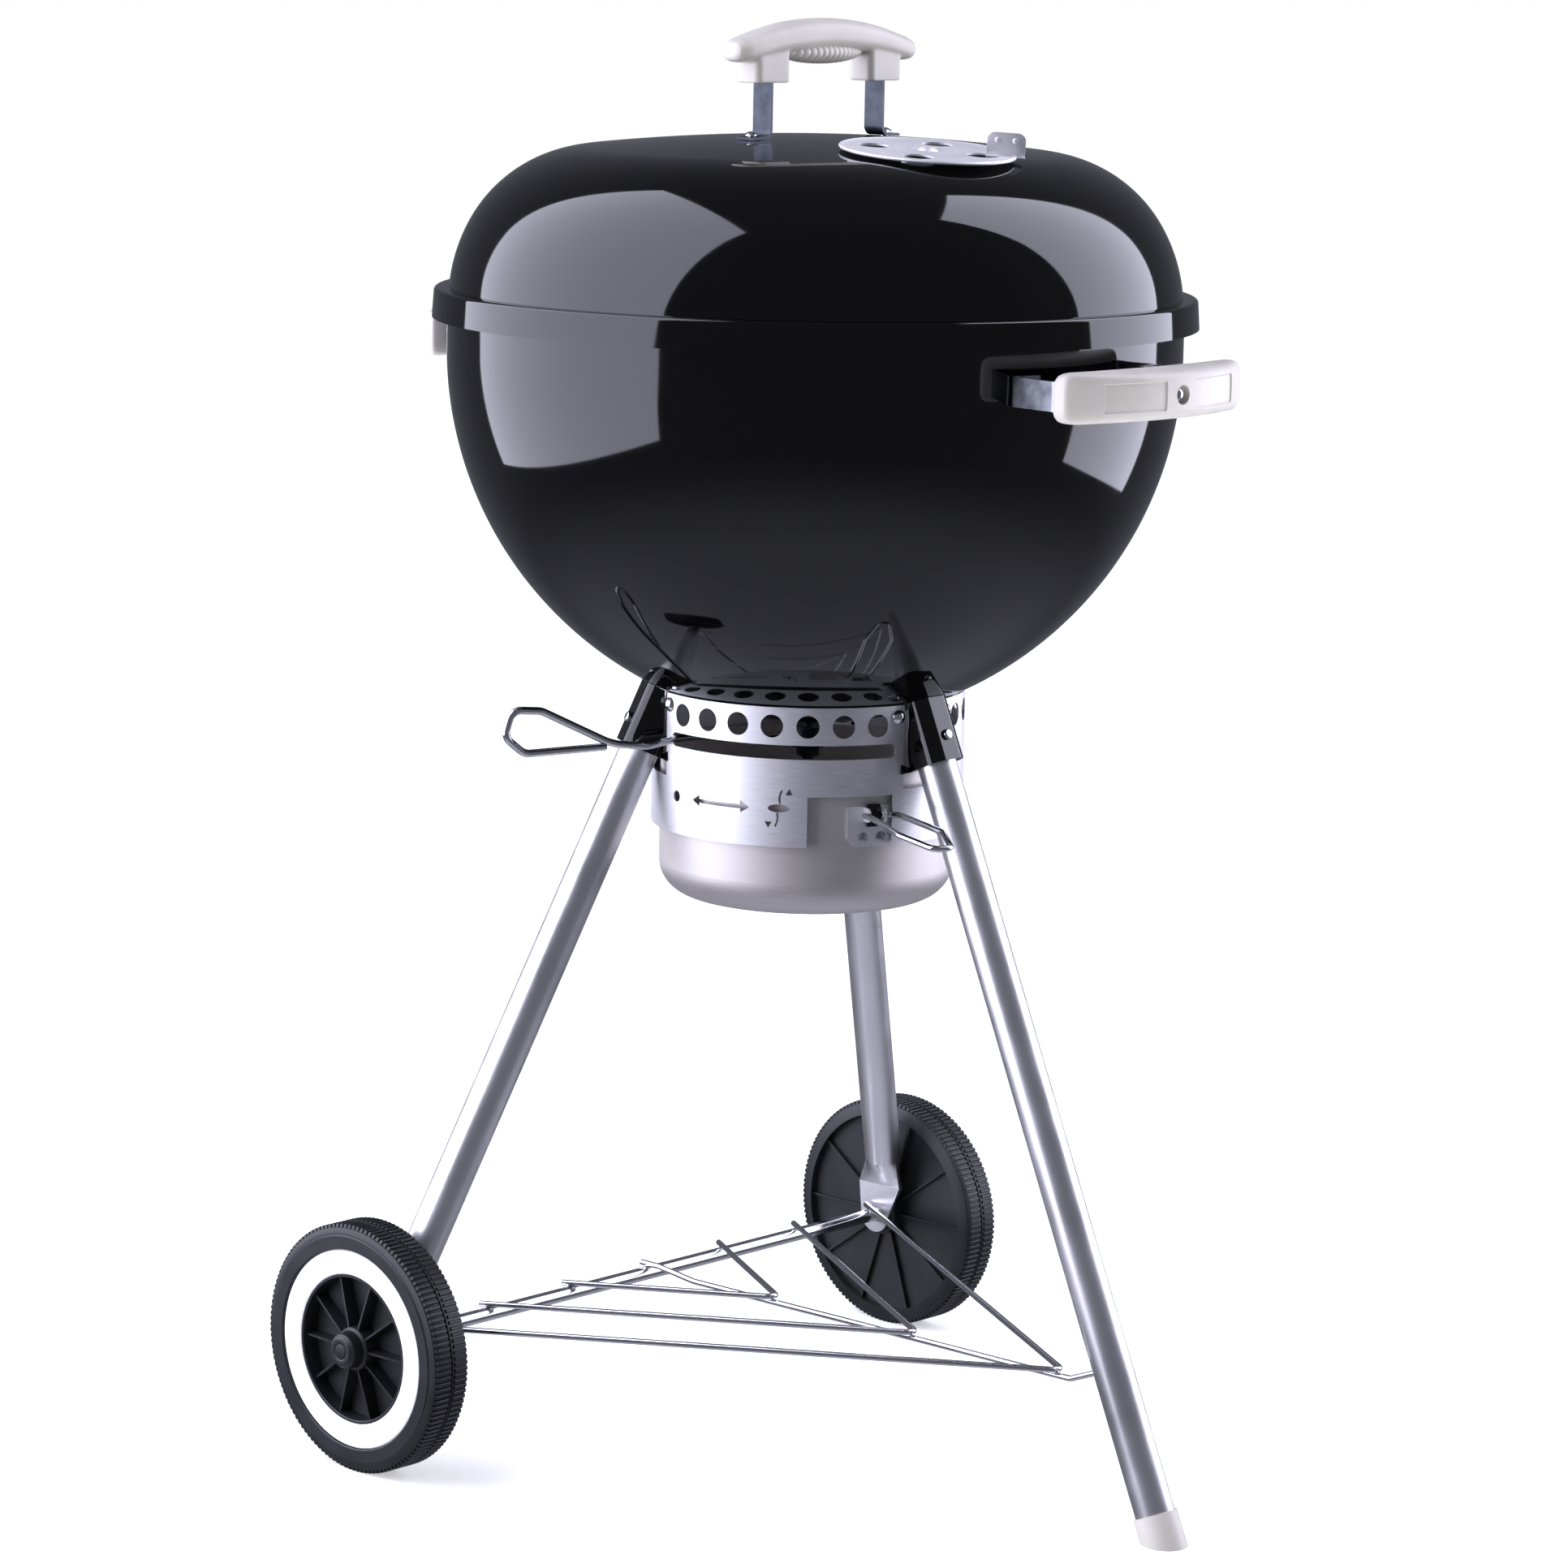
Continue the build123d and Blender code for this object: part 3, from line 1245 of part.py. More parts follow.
def bowl_room():
    """The space inside the bowl, a gap inside its wall."""
    line = bowl_line(kettle_steel + fit_gap, bead_centre_height)
    closing = [
        Line(line[-1] @ 1, (0, bead_centre_height)),
        Line((0, bead_centre_height), line[0] @ 0),
    ]
    return revolved([*line, *closing])


def grate_tabs(height, reach_out):
    """Angle brackets on the bowl's inner wall that carry a grate."""
    room = bowl_room()
    wall = bowl_inner_radius_at(height)
    shelf = sector(reach_out, wall, height - tab_steel, height, -tab_half_span, tab_half_span)
    foot_reach = bowl_inner_radius_at(height - tab_height) - fit_gap - tab_steel
    leg = sector(foot_reach, wall, height - tab_height, height, -tab_half_span, tab_half_span)
    bracket = (shelf + leg) & room
    return [turned(bracket, turn * 360 / tab_count + tab_first) for turn in range(tab_count)]


def bowl_inner_radius_at(height):
    """The inside radius of the bowl at a height on its side arc."""
    side_centre, side, bottom_centre, bottom = bowl_arcs(kettle_steel)
    if height >= side_centre[1]:
        return side_centre[0] + side
    drop = side_centre[1] - height
    return side_centre[0] + sqrt(side**2 - drop**2)


# ---------------------------------------------------------------- write every piece
write(lid_shell(), "lid_shell")
write(vent_damper(), "vent_damper")
write(vent_rivet(), "vent_rivet")
write(lid_handle_bracket(-1), "lid_handle_bracket_left")
write(lid_handle_bracket(1), "lid_handle_bracket_right")
write(lid_handle_screws(), "lid_handle_screws")
write(lid_handle_grip(), "lid_handle_grip")
wall, floor = bowl_shell()
write(wall, "bowl_shell")
write(floor, "bowl_floor")
for name, azimuth in leg_azimuths.items():
    write(leg_socket(azimuth), f"leg_socket_{name}")
    write(leg_button(azimuth), f"leg_button_{name}")
write(leg_front(), "leg_front")
write(foot_cap(), "foot_cap")
write(ash_band(), "ash_band")
write(band_screws(), "band_screws")
write(sweep_blades(), "sweep_blades")
write(sweep_shaft(), "sweep_shaft")
write(sweep_collar(), "sweep_collar")
write(sweep_lever(), "sweep_lever")
write(sweep_nut(), "sweep_nut")
write(ash_catcher(), "ash_catcher")
write(catcher_bracket(), "catcher_bracket")
write(catcher_rivets(), "catcher_rivets")
write(catcher_bail(), "catcher_bail")
write(axle(), "axle")
for name, side in (("left", -1), ("right", 1)):
    write(wheel_leg(leg_azimuths[name]), f"leg_{name}")
    write(wheel(side), f"wheel_{name}")
    write(wheel_trim(side), f"wheel_trim_{name}")
    write(wheel_cap(side), f"wheel_cap_{name}")
for name in rack_ends:
    write(rack_wire(name), f"rack_wire_{name}")
write(rack_wire_centre(), "rack_wire_centre")
for name, azimuth in (("front", 0), ("rear", 180)):
    lift = Pos(0, 0, handle_height) * Rot(0, 0, azimuth)
    write(lift * bowl_handle_strap(), f"handle_bracket_{name}")
    write(lift * bowl_handle_grip(), f"handle_grip_{name}")
    write(lift * bowl_handle_screw(), f"handle_screw_{name}")
tabs = []
for name, height, gap, pitch in (
    ("cooking_grate", cooking_grate_height, cooking_grate_gap, cooking_rod_pitch),
    ("charcoal_grate", charcoal_grate_height, charcoal_grate_gap, charcoal_rod_pitch),
):
    grate_radius = bowl_inner_radius_at(height) - gap
    frame, rods = rod_grate(grate_radius, height, pitch)
    write(frame, f"{name}_frame")
    write(rods, f"{name}_rods")
    tabs += grate_tabs(height - grate_ring_radius - fit_gap / 3, grate_radius - tab_reach_in)
write(Compound(children=tabs), "grate_tabs")
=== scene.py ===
import json
import math

import bmesh
import bpy
from mathutils import Matrix, Vector


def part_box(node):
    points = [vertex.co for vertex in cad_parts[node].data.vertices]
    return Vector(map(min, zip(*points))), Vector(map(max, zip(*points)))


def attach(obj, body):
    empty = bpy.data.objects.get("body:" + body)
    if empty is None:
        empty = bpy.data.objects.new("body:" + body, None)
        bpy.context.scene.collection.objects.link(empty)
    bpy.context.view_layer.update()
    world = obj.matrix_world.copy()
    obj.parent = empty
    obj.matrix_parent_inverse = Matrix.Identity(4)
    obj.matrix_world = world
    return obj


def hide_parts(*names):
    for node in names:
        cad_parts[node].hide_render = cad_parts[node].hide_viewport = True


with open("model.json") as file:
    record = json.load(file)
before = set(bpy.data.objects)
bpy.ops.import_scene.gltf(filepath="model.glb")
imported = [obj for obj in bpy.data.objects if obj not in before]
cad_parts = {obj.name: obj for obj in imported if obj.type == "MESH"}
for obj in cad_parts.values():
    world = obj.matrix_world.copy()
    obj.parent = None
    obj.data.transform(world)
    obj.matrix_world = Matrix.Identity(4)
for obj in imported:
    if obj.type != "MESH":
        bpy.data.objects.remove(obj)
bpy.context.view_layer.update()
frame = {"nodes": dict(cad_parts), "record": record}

mm = 0.001


# small helpers

def linear(hexColour):
    # sRGB hex to the linear colour that the shader takes
    out = []
    for start in (0, 2, 4):
        value = int(hexColour[start:start + 2], 16) / 255
        out.append(value / 12.92 if value <= 0.04045 else ((value + 0.055) / 1.055) ** 2.4)
    return (*out, 1.0)


def addNode(material, kind, settings=None, links=None):
    node = material.node_tree.nodes.new(kind)
    for key, value in (settings or {}).items():
        if isinstance(key, int) or key in node.inputs:
            node.inputs[key].default_value = value
        else:
            setattr(node, key, value)
    for key, source in (links or {}).items():
        material.node_tree.links.new(source, node.inputs[key])
    return node


def newMaterial(name):
    material = bpy.data.materials.new(name)
    material.use_nodes = True
    material.node_tree.nodes.clear()
    return material


def finishMaterial(material, shader):
    addNode(material, "ShaderNodeOutputMaterial", {}, {"Surface": shader.outputs[0]})
    return material


def pieceFrom(bm, name, material, body, place=None, smoothAngle=40):
    # puts the finished mesh in place and makes it a piece at the origin
    if place is not None:
        bmesh.ops.transform(bm, matrix=place, verts=bm.verts)
    mesh = bpy.data.meshes.new(name)
    bm.to_mesh(mesh)
    bm.free()
    piece = bpy.data.objects.new(name, mesh)
    bpy.context.scene.collection.objects.link(piece)
    mesh.materials.append(material)
    mesh.shade_smooth()
    mesh.set_sharp_from_angle(angle=math.radians(smoothAngle))
    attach(piece, body)
    return piece


def closeMesh(bm, distance=1e-6):
    bmesh.ops.remove_doubles(bm, verts=bm.verts, dist=distance)
    bmesh.ops.recalc_face_normals(bm, faces=bm.faces)


def sharpEdges(bm, least=35):
    return [e for e in bm.edges if len(e.link_faces) == 2 and e.calc_face_angle(0) > math.radians(least)]


def softenEdges(bm, edges, width, segments=2):
    bmesh.ops.bevel(
        bm, geom=edges, offset=width * mm, offset_type="OFFSET", segments=segments, profile=0.5,
        affect="EDGES", material=-1, clamp_overlap=True,
    )


def turnedShape(points, steps=128):
    # a closed outline of radius and height in mm, turned once about Z
    bm = bmesh.new()
    corners = [bm.verts.new((r * mm, 0, z * mm)) for r, z in points]
    for first, second in zip(corners, corners[1:] + corners[:1]):
        bm.edges.new((first, second))
    bmesh.ops.spin(
        bm, geom=bm.verts[:] + bm.edges[:], cent=(0, 0, 0), axis=(0, 0, 1),
        angle=2 * math.pi, steps=steps, use_merge=True,
    )
    closeMesh(bm)
    return bm


def block(bm, low, high):
    # a cuboid between two corners in mm
    size = [(b - a) * mm for a, b in zip(low, high)]
    middle = [(a + b) / 2 * mm for a, b in zip(low, high)]
    matrix = Matrix.Translation(middle) @ Matrix.Diagonal((*size, 1))
    return bmesh.ops.create_cube(bm, size=1, matrix=matrix)["verts"]


def geometryOf(verts):
    edges = {e for v in verts for e in v.link_edges}
    faces = {f for v in verts for f in v.link_faces}
    return [*verts, *edges, *faces]


def repeatRound(bm, geometry, count):
    bmesh.ops.spin(
        bm, geom=geometry, cent=(0, 0, 0), axis=(0, 0, 1), angle=2 * math.pi * (count - 1) / count,
        steps=count - 1, use_duplicate=True,
    )


def sleeve(stations, sides, power=2.0):
    # a closed skin through sections along X; a station is x, y, z, half depth and half height in mm
    bm = bmesh.new()
    last = len(stations) - 1
    bmesh.ops.create_grid(bm, x_segments=last, y_segments=sides, size=1)
    for vertex in bm.verts:
        x, y, z, deep, high = stations[round((vertex.co.x + 1) / 2 * last)]
        turn = round((vertex.co.y + 1) / 2 * sides) / sides * 2 * math.pi
        across, up = math.cos(turn), math.sin(turn)
        across = math.copysign(abs(across) ** (2 / power), across)
        up = math.copysign(abs(up) ** (2 / power), up)
        vertex.co = Vector((x, y + deep * across, z + high * up)) * mm
    bmesh.ops.remove_doubles(bm, verts=bm.verts, dist=1e-6)
    bmesh.ops.holes_fill(bm, edges=[e for e in bm.edges if e.is_boundary], sides=0)
    bmesh.ops.recalc_face_normals(bm, faces=bm.faces)
    return bm


def bakeModifiers(piece):
    graph = bpy.context.evaluated_depsgraph_get()
    mesh = bpy.data.meshes.new_from_object(piece.evaluated_get(graph))
    piece.modifiers.clear()
    piece.data = mesh


def cutAway(piece, bm):
    # takes the shape in the bmesh out of a piece
    mesh = bpy.data.meshes.new("tool")
    bm.to_mesh(mesh)
    bm.free()
    tool = bpy.data.objects.new("tool", mesh)
    bpy.context.scene.collection.objects.link(tool)
    change = piece.modifiers.new("cut", "BOOLEAN")
    change.operation = "DIFFERENCE"
    change.solver = "EXACT"
    change.object = tool
    bakeModifiers(piece)
    bpy.data.objects.remove(tool)
    piece.data.shade_smooth()
    piece.data.set_sharp_from_angle(angle=math.radians(40))


# camera, lights and floor

view = {"place": (-2.3686, -2.2123, 1.0062), "heading": -46.69, "tilt": 80.05, "roll": 1.0, "lens": 116.4}

studio = {
    "leftPanel": {"azimuth": 140, "distance": 1.6, "size": (2.3, 3.4), "foot": -0.02, "lean": 10, "power": 104},
    "rightPanel": {"azimuth": -33, "distance": 1.7, "size": (1.2, 3.4), "foot": -0.02, "lean": 10, "power": 58},
    "skyDim": 0.16,
    "groundDim": 0.6,
}


def makeCamera():
    data = bpy.data.cameras.new("camera")
    data.lens = view["lens"]
    data.sensor_width = 36
    data.clip_end = 50
    camera = bpy.data.objects.new("camera", data)
    turn = Matrix.Rotation(math.radians(view["heading"]), 4, "Z")
    turn = turn @ Matrix.Rotation(math.radians(view["tilt"]), 4, "X")
    turn = turn @ Matrix.Rotation(math.radians(view["roll"]), 4, "Z")
    camera.matrix_world = Matrix.Translation(view["place"]) @ turn
    bpy.context.scene.collection.objects.link(camera)
    bpy.context.scene.camera = camera


def standPanel(name, azimuth, distance, size, foot, lean, power):
    # a tall soft panel that stands on the floor and leans towards the grill
    data = bpy.data.lights.new(name, "AREA")
    data.shape = "RECTANGLE"
    data.size, data.size_y = size
    data.energy = power
    data.color = linear("ecebff")[:3]
    light = bpy.data.objects.new(name, data)
    turn = Matrix.Rotation(math.radians(azimuth), 4, "Z")
    stand = Matrix.Translation((distance, 0, foot)) @ Matrix.Rotation(math.radians(-lean), 4, "Y")
    face = Matrix.Translation((0, 0, size[1] / 2)) @ Matrix.Rotation(math.radians(90), 4, "Y")
    face = face @ Matrix.Rotation(math.radians(90), 4, "Z")
    light.matrix_world = turn @ stand @ face
    light.visible_camera = False
    bpy.context.scene.collection.objects.link(light)


def makeWorld():
    # white where the camera looks past the grill; a dim room over a lighter ground for everything else
    world = bpy.data.worlds.new("studio")
    bpy.context.scene.world = world
    world.use_nodes = True
    world.node_tree.nodes.clear()
    path = addNode(world, "ShaderNodeLightPath")
    place = addNode(world, "ShaderNodeTexCoord")
    height = addNode(world, "ShaderNodeSeparateXYZ", {}, {0: place.outputs["Generated"]})
    share = addNode(world, "ShaderNodeMapRange", {
        "interpolation_type": "SMOOTHSTEP", "From Min": -0.86, "From Max": -0.45,
        "To Min": studio["groundDim"], "To Max": studio["skyDim"],
    }, {"Value": height.outputs["Z"]})
    dim = addNode(world, "ShaderNodeBackground", {"Color": linear("e6e7fb")}, {"Strength": share.outputs[0]})
    bright = addNode(world, "ShaderNodeBackground", {"Color": (1, 1, 1, 1), "Strength": 1.0})
    mix = addNode(world, "ShaderNodeMixShader", {}, {
        0: path.outputs["Is Camera Ray"], 1: dim.outputs[0], 2: bright.outputs[0],
    })
    addNode(world, "ShaderNodeOutputWorld", {}, {"Surface": mix.outputs[0]})


def makeFloor():
    bm = bmesh.new()
    bmesh.ops.create_circle(bm, cap_ends=True, radius=9, segments=64)
    mesh = bpy.data.meshes.new("floor")
    bm.to_mesh(mesh)
    bm.free()
    floor = bpy.data.objects.new("floor", mesh)
    bpy.context.scene.collection.objects.link(floor)
    paint = newMaterial("white_studio_floor")
    place = addNode(paint, "ShaderNodeTexCoord")
    reach = addNode(paint, "ShaderNodeVectorMath", {"operation": "LENGTH"}, {0: place.outputs["Object"]})
    glow = addNode(paint, "ShaderNodeMapRange", {
        "interpolation_type": "SMOOTHSTEP", "From Min": 0.7, "From Max": 2.4, "To Min": 0.45, "To Max": 1.0,
    }, {"Value": reach.outputs["Value"]})
    shader = addNode(paint, "ShaderNodeBsdfPrincipled", {
        "Base Color": linear("f6f6f6"), "Roughness": 0.95, "Specular IOR Level": 0.1, "Emission Color": (1, 1, 1, 1),
    }, {"Emission Strength": glow.outputs[0]})
    mesh.materials.append(finishMaterial(paint, shader))
    floor.visible_glossy = False     # the enamel mirrors the even ground light instead


makeCamera()
for panelName in ("leftPanel", "rightPanel"):
    standPanel(panelName, **studio[panelName])
makeWorld()
makeFloor()
bpy.context.scene.view_settings.view_transform = "Standard"
print("studio done")

# materials

def porcelainEnamel():
    # vitreous enamel fired on steel: deep black glass with a faint orange peel
    material = newMaterial("porcelain_enamel_black")
    place = addNode(material, "ShaderNodeTexCoord")
    peel = addNode(material, "ShaderNodeTexNoise", {
        "Scale": 1 / (7 * mm), "Detail": 2.0,
    }, {"Vector": place.outputs["Object"]})
    grain = addNode(material, "ShaderNodeTexNoise", {
        "Scale": 1 / (0.9 * mm), "Detail": 1.0,
    }, {"Vector": place.outputs["Object"]})
    wave = addNode(material, "ShaderNodeBump", {
        "Strength": 0.03, "Distance": 0.02 * mm,
    }, {"Height": peel.outputs["Fac"]})
    bump = addNode(material, "ShaderNodeBump", {"Strength": 0.02, "Distance": 0.005 * mm}, {
        "Height": grain.outputs["Fac"], "Normal": wave.outputs["Normal"],
    })
    cloud = addNode(material, "ShaderNodeTexNoise", {
        "Scale": 1 / (60 * mm), "Detail": 4.0,
    }, {"Vector": place.outputs["Object"]})
    rough = addNode(material, "ShaderNodeMapRange", {
        "From Min": 0.3, "From Max": 0.7, "To Min": 0.035, "To Max": 0.065,
    }, {"Value": cloud.outputs["Fac"]})
    shader = addNode(material, "ShaderNodeBsdfPrincipled", {
        "Base Color": linear("020203"), "IOR": 1.5,
    }, {"Roughness": rough.outputs[0], "Normal": bump.outputs["Normal"]})
    return finishMaterial(material, shader)


def nylonMoulded():
    # glass-filled nylon, injection moulded: warm white with a fine spark-eroded grain
    material = newMaterial("nylon_white_moulded")
    place = addNode(material, "ShaderNodeTexCoord")
    grain = addNode(material, "ShaderNodeTexNoise", {
        "Scale": 1 / (0.7 * mm), "Detail": 3.0,
    }, {"Vector": place.outputs["Object"]})
    cloud = addNode(material, "ShaderNodeTexNoise", {
        "Scale": 1 / (22 * mm), "Detail": 3.0,
    }, {"Vector": place.outputs["Object"]})
    tint = addNode(material, "ShaderNodeValToRGB", {}, {"Fac": cloud.outputs["Fac"]})
    tint.color_ramp.elements[0].position = 0.3
    tint.color_ramp.elements[0].color = linear("c6c3ba")
    tint.color_ramp.elements[1].position = 0.7
    tint.color_ramp.elements[1].color = linear("cfccc4")
    rough = addNode(material, "ShaderNodeMapRange", {"To Min": 0.33, "To Max": 0.5}, {"Value": cloud.outputs["Fac"]})
    bump = addNode(material, "ShaderNodeBump", {
        "Strength": 0.25, "Distance": 0.05 * mm,
    }, {"Height": grain.outputs["Fac"]})
    shader = addNode(material, "ShaderNodeBsdfPrincipled", {
        "IOR": 1.53, "Subsurface Weight": 0.08, "Subsurface Scale": 2 * mm,
    }, {"Base Color": tint.outputs["Color"], "Roughness": rough.outputs[0], "Normal": bump.outputs["Normal"]})
    return finishMaterial(material, shader)


def trimPlastic():
    # smooth white ABS trim, a little glossier than the grips
    material = newMaterial("abs_white_trim")
    place = addNode(material, "ShaderNodeTexCoord")
    cloud = addNode(material, "ShaderNodeTexNoise", {
        "Scale": 1 / (15 * mm), "Detail": 3.0,
    }, {"Vector": place.outputs["Object"]})
    rough = addNode(material, "ShaderNodeMapRange", {"To Min": 0.22, "To Max": 0.36}, {"Value": cloud.outputs["Fac"]})
    bump = addNode(material, "ShaderNodeBump", {
        "Strength": 0.04, "Distance": 0.1 * mm,
    }, {"Height": cloud.outputs["Fac"]})
    shader = addNode(material, "ShaderNodeBsdfPrincipled", {"Base Color": linear("e6e6e8"), "IOR": 1.53}, {
        "Roughness": rough.outputs[0], "Normal": bump.outputs["Normal"],
    })
    return finishMaterial(material, shader)


def wheelPlastic():
    # black polypropylene with a matt moulded grain, dusty where it is rough
    material = newMaterial("polypropylene_black_matt")
    place = addNode(material, "ShaderNodeTexCoord")
    grain = addNode(material, "ShaderNodeTexNoise", {
        "Scale": 1 / (0.8 * mm), "Detail": 2.0,
    }, {"Vector": place.outputs["Object"]})
    cloud = addNode(material, "ShaderNodeTexNoise", {
        "Scale": 1 / (30 * mm), "Detail": 5.0,
    }, {"Vector": place.outputs["Object"]})
    tint = addNode(material, "ShaderNodeValToRGB", {}, {"Fac": cloud.outputs["Fac"]})
    tint.color_ramp.elements[0].position = 0.35
    tint.color_ramp.elements[0].color = linear("0f1013")
    tint.color_ramp.elements[1].position = 0.75
    tint.color_ramp.elements[1].color = linear("191a1f")
    rough = addNode(material, "ShaderNodeMapRange", {"To Min": 0.36, "To Max": 0.58}, {"Value": cloud.outputs["Fac"]})
    bump = addNode(material, "ShaderNodeBump", {
        "Strength": 0.35, "Distance": 0.06 * mm,
    }, {"Height": grain.outputs["Fac"]})
    shader = addNode(material, "ShaderNodeBsdfPrincipled", {"IOR": 1.49}, {
        "Base Color": tint.outputs["Color"], "Roughness": rough.outputs[0], "Normal": bump.outputs["Normal"],
    })
    return finishMaterial(material, shader)


def legAluminium(name, azimuth, tilt=23.56):
    # drawn aluminium tube, bright dipped: soft die lines run along the tube
    material = newMaterial(name)
    place = addNode(material, "ShaderNodeTexCoord")
    along = Matrix.Rotation(math.radians(tilt), 3, "Y") @ Matrix.Rotation(math.radians(-azimuth), 3, "Z")
    turned = addNode(material, "ShaderNodeMapping", {
        "Rotation": along.to_euler("XYZ"),
    }, {"Vector": place.outputs["Object"]})
    drawn = addNode(material, "ShaderNodeMapping", {"Scale": (1, 1, 0.01)}, {"Vector": turned.outputs["Vector"]})
    lines = addNode(material, "ShaderNodeTexNoise", {
        "Scale": 1 / (0.7 * mm), "Detail": 4.0,
    }, {"Vector": drawn.outputs["Vector"]})
    cloud = addNode(material, "ShaderNodeTexNoise", {
        "Scale": 1 / (35 * mm), "Detail": 4.0,
    }, {"Vector": turned.outputs["Vector"]})
    bump = addNode(material, "ShaderNodeBump", {
        "Strength": 0.5, "Distance": 0.06 * mm,
    }, {"Height": lines.outputs["Fac"]})
    rough = addNode(material, "ShaderNodeMapRange", {
        "From Min": 0.3, "From Max": 0.7, "To Min": 0.27, "To Max": 0.38,
    }, {"Value": cloud.outputs["Fac"]})
    shader = addNode(material, "ShaderNodeBsdfPrincipled", {"Base Color": linear("f0f0f2"), "Metallic": 1.0}, {
        "Roughness": rough.outputs[0], "Normal": bump.outputs["Normal"],
    })
    return finishMaterial(material, shader)


def pressedAluminium():
    # soft aluminium sheet, pressed and tumbled: satin, with fine even scratches
    material = newMaterial("aluminium_sheet_tumbled")
    place = addNode(material, "ShaderNodeTexCoord")
    scratch = addNode(material, "ShaderNodeTexNoise", {
        "Scale": 1 / (1.2 * mm), "Detail": 6.0, "Roughness": 0.7,
    }, {"Vector": place.outputs["Object"]})
    rough = addNode(material, "ShaderNodeMapRange", {
        "From Min": 0.3, "From Max": 0.7, "To Min": 0.52, "To Max": 0.64,
    }, {"Value": scratch.outputs["Fac"]})
    bump = addNode(material, "ShaderNodeBump", {
        "Strength": 0.1, "Distance": 0.03 * mm,
    }, {"Height": scratch.outputs["Fac"]})
    shader = addNode(material, "ShaderNodeBsdfPrincipled", {"Base Color": linear("f1f1f3"), "Metallic": 1.0}, {
        "Roughness": rough.outputs[0], "Normal": bump.outputs["Normal"],
    })
    return finishMaterial(material, shader)


def roundBrushed(name, colour, lineWidth, lineLength, depth, roughLow, roughHigh, pull):
    # sheet brushed round the vertical axis: the light spreads up and down across the lines
    material = newMaterial(name)
    place = addNode(material, "ShaderNodeTexCoord")
    axes = addNode(material, "ShaderNodeSeparateXYZ", {}, {0: place.outputs["Object"]})
    turn = addNode(material, "ShaderNodeMath", {"operation": "ARCTAN2"}, {0: axes.outputs["Y"], 1: axes.outputs["X"]})
    run = addNode(material, "ShaderNodeMath", {"operation": "MULTIPLY", 1: 100 / lineLength}, {0: turn.outputs[0]})
    rise = addNode(material, "ShaderNodeMath", {
        "operation": "MULTIPLY", 1: 1 / (lineWidth * mm),
    }, {0: axes.outputs["Z"]})
    wrapped = addNode(material, "ShaderNodeCombineXYZ", {}, {"X": run.outputs[0], "Y": rise.outputs[0]})
    lines = addNode(material, "ShaderNodeTexNoise", {
        "Scale": 1.0, "Detail": 3.0, "Roughness": 0.6,
    }, {"Vector": wrapped.outputs[0]})
    bump = addNode(material, "ShaderNodeBump", {
        "Strength": depth, "Distance": 0.03 * mm,
    }, {"Height": lines.outputs["Fac"]})
    rough = addNode(material, "ShaderNodeMapRange", {
        "From Min": 0.3, "From Max": 0.7, "To Min": roughLow, "To Max": roughHigh,
    }, {"Value": lines.outputs["Fac"]})
    tint = addNode(material, "ShaderNodeValToRGB", {}, {"Fac": lines.outputs["Fac"]})
    tint.color_ramp.elements[0].position = 0.3
    tint.color_ramp.elements[0].color = linear(colour[0])
    tint.color_ramp.elements[1].position = 0.7
    tint.color_ramp.elements[1].color = linear(colour[1])
    around = addNode(material, "ShaderNodeTangent", {"direction_type": "RADIAL", "axis": "Z"})
    shader = addNode(material, "ShaderNodeBsdfPrincipled", {"Metallic": 1.0, "Anisotropic": pull}, {
        "Base Color": tint.outputs["Color"], "Roughness": rough.outputs[0],
        "Normal": bump.outputs["Normal"], "Tangent": around.outputs[0],
    })
    return finishMaterial(material, shader)


def coldRolledSteel(name, colour):
    # cold rolled strip: blue-grey, with a little cloudiness
    material = newMaterial(name)
    place = addNode(material, "ShaderNodeTexCoord")
    cloud = addNode(material, "ShaderNodeTexNoise", {
        "Scale": 1 / (8 * mm), "Detail": 5.0,
    }, {"Vector": place.outputs["Object"]})
    tint = addNode(material, "ShaderNodeValToRGB", {}, {"Fac": cloud.outputs["Fac"]})
    tint.color_ramp.elements[0].position = 0.3
    tint.color_ramp.elements[0].color = linear(colour[0])
    tint.color_ramp.elements[1].position = 0.7
    tint.color_ramp.elements[1].color = linear(colour[1])
    rough = addNode(material, "ShaderNodeMapRange", {
        "From Min": 0.3, "From Max": 0.7, "To Min": 0.28, "To Max": 0.4,
    }, {"Value": cloud.outputs["Fac"]})
    shader = addNode(material, "ShaderNodeBsdfPrincipled", {"Metallic": 1.0}, {
        "Base Color": tint.outputs["Color"], "Roughness": rough.outputs[0],
    })
    return finishMaterial(material, shader)


def brightWire():
    # nickel-plated steel wire: mirror bright, with faint drawing marks
    material = newMaterial("steel_wire_nickel_plated")
    place = addNode(material, "ShaderNodeTexCoord")
    marks = addNode(material, "ShaderNodeTexNoise", {
        "Scale": 1 / (2 * mm), "Detail": 4.0,
    }, {"Vector": place.outputs["Object"]})
    rough = addNode(material, "ShaderNodeMapRange", {
        "From Min": 0.3, "From Max": 0.7, "To Min": 0.08, "To Max": 0.17,
    }, {"Value": marks.outputs["Fac"]})
    bump = addNode(material, "ShaderNodeBump", {
        "Strength": 0.08, "Distance": 0.05 * mm,
    }, {"Height": marks.outputs["Fac"]})
    shader = addNode(material, "ShaderNodeBsdfPrincipled", {"Base Color": linear("dcdcde"), "Metallic": 1.0}, {
        "Roughness": rough.outputs[0], "Normal": bump.outputs["Normal"],
    })
    return finishMaterial(material, shader)


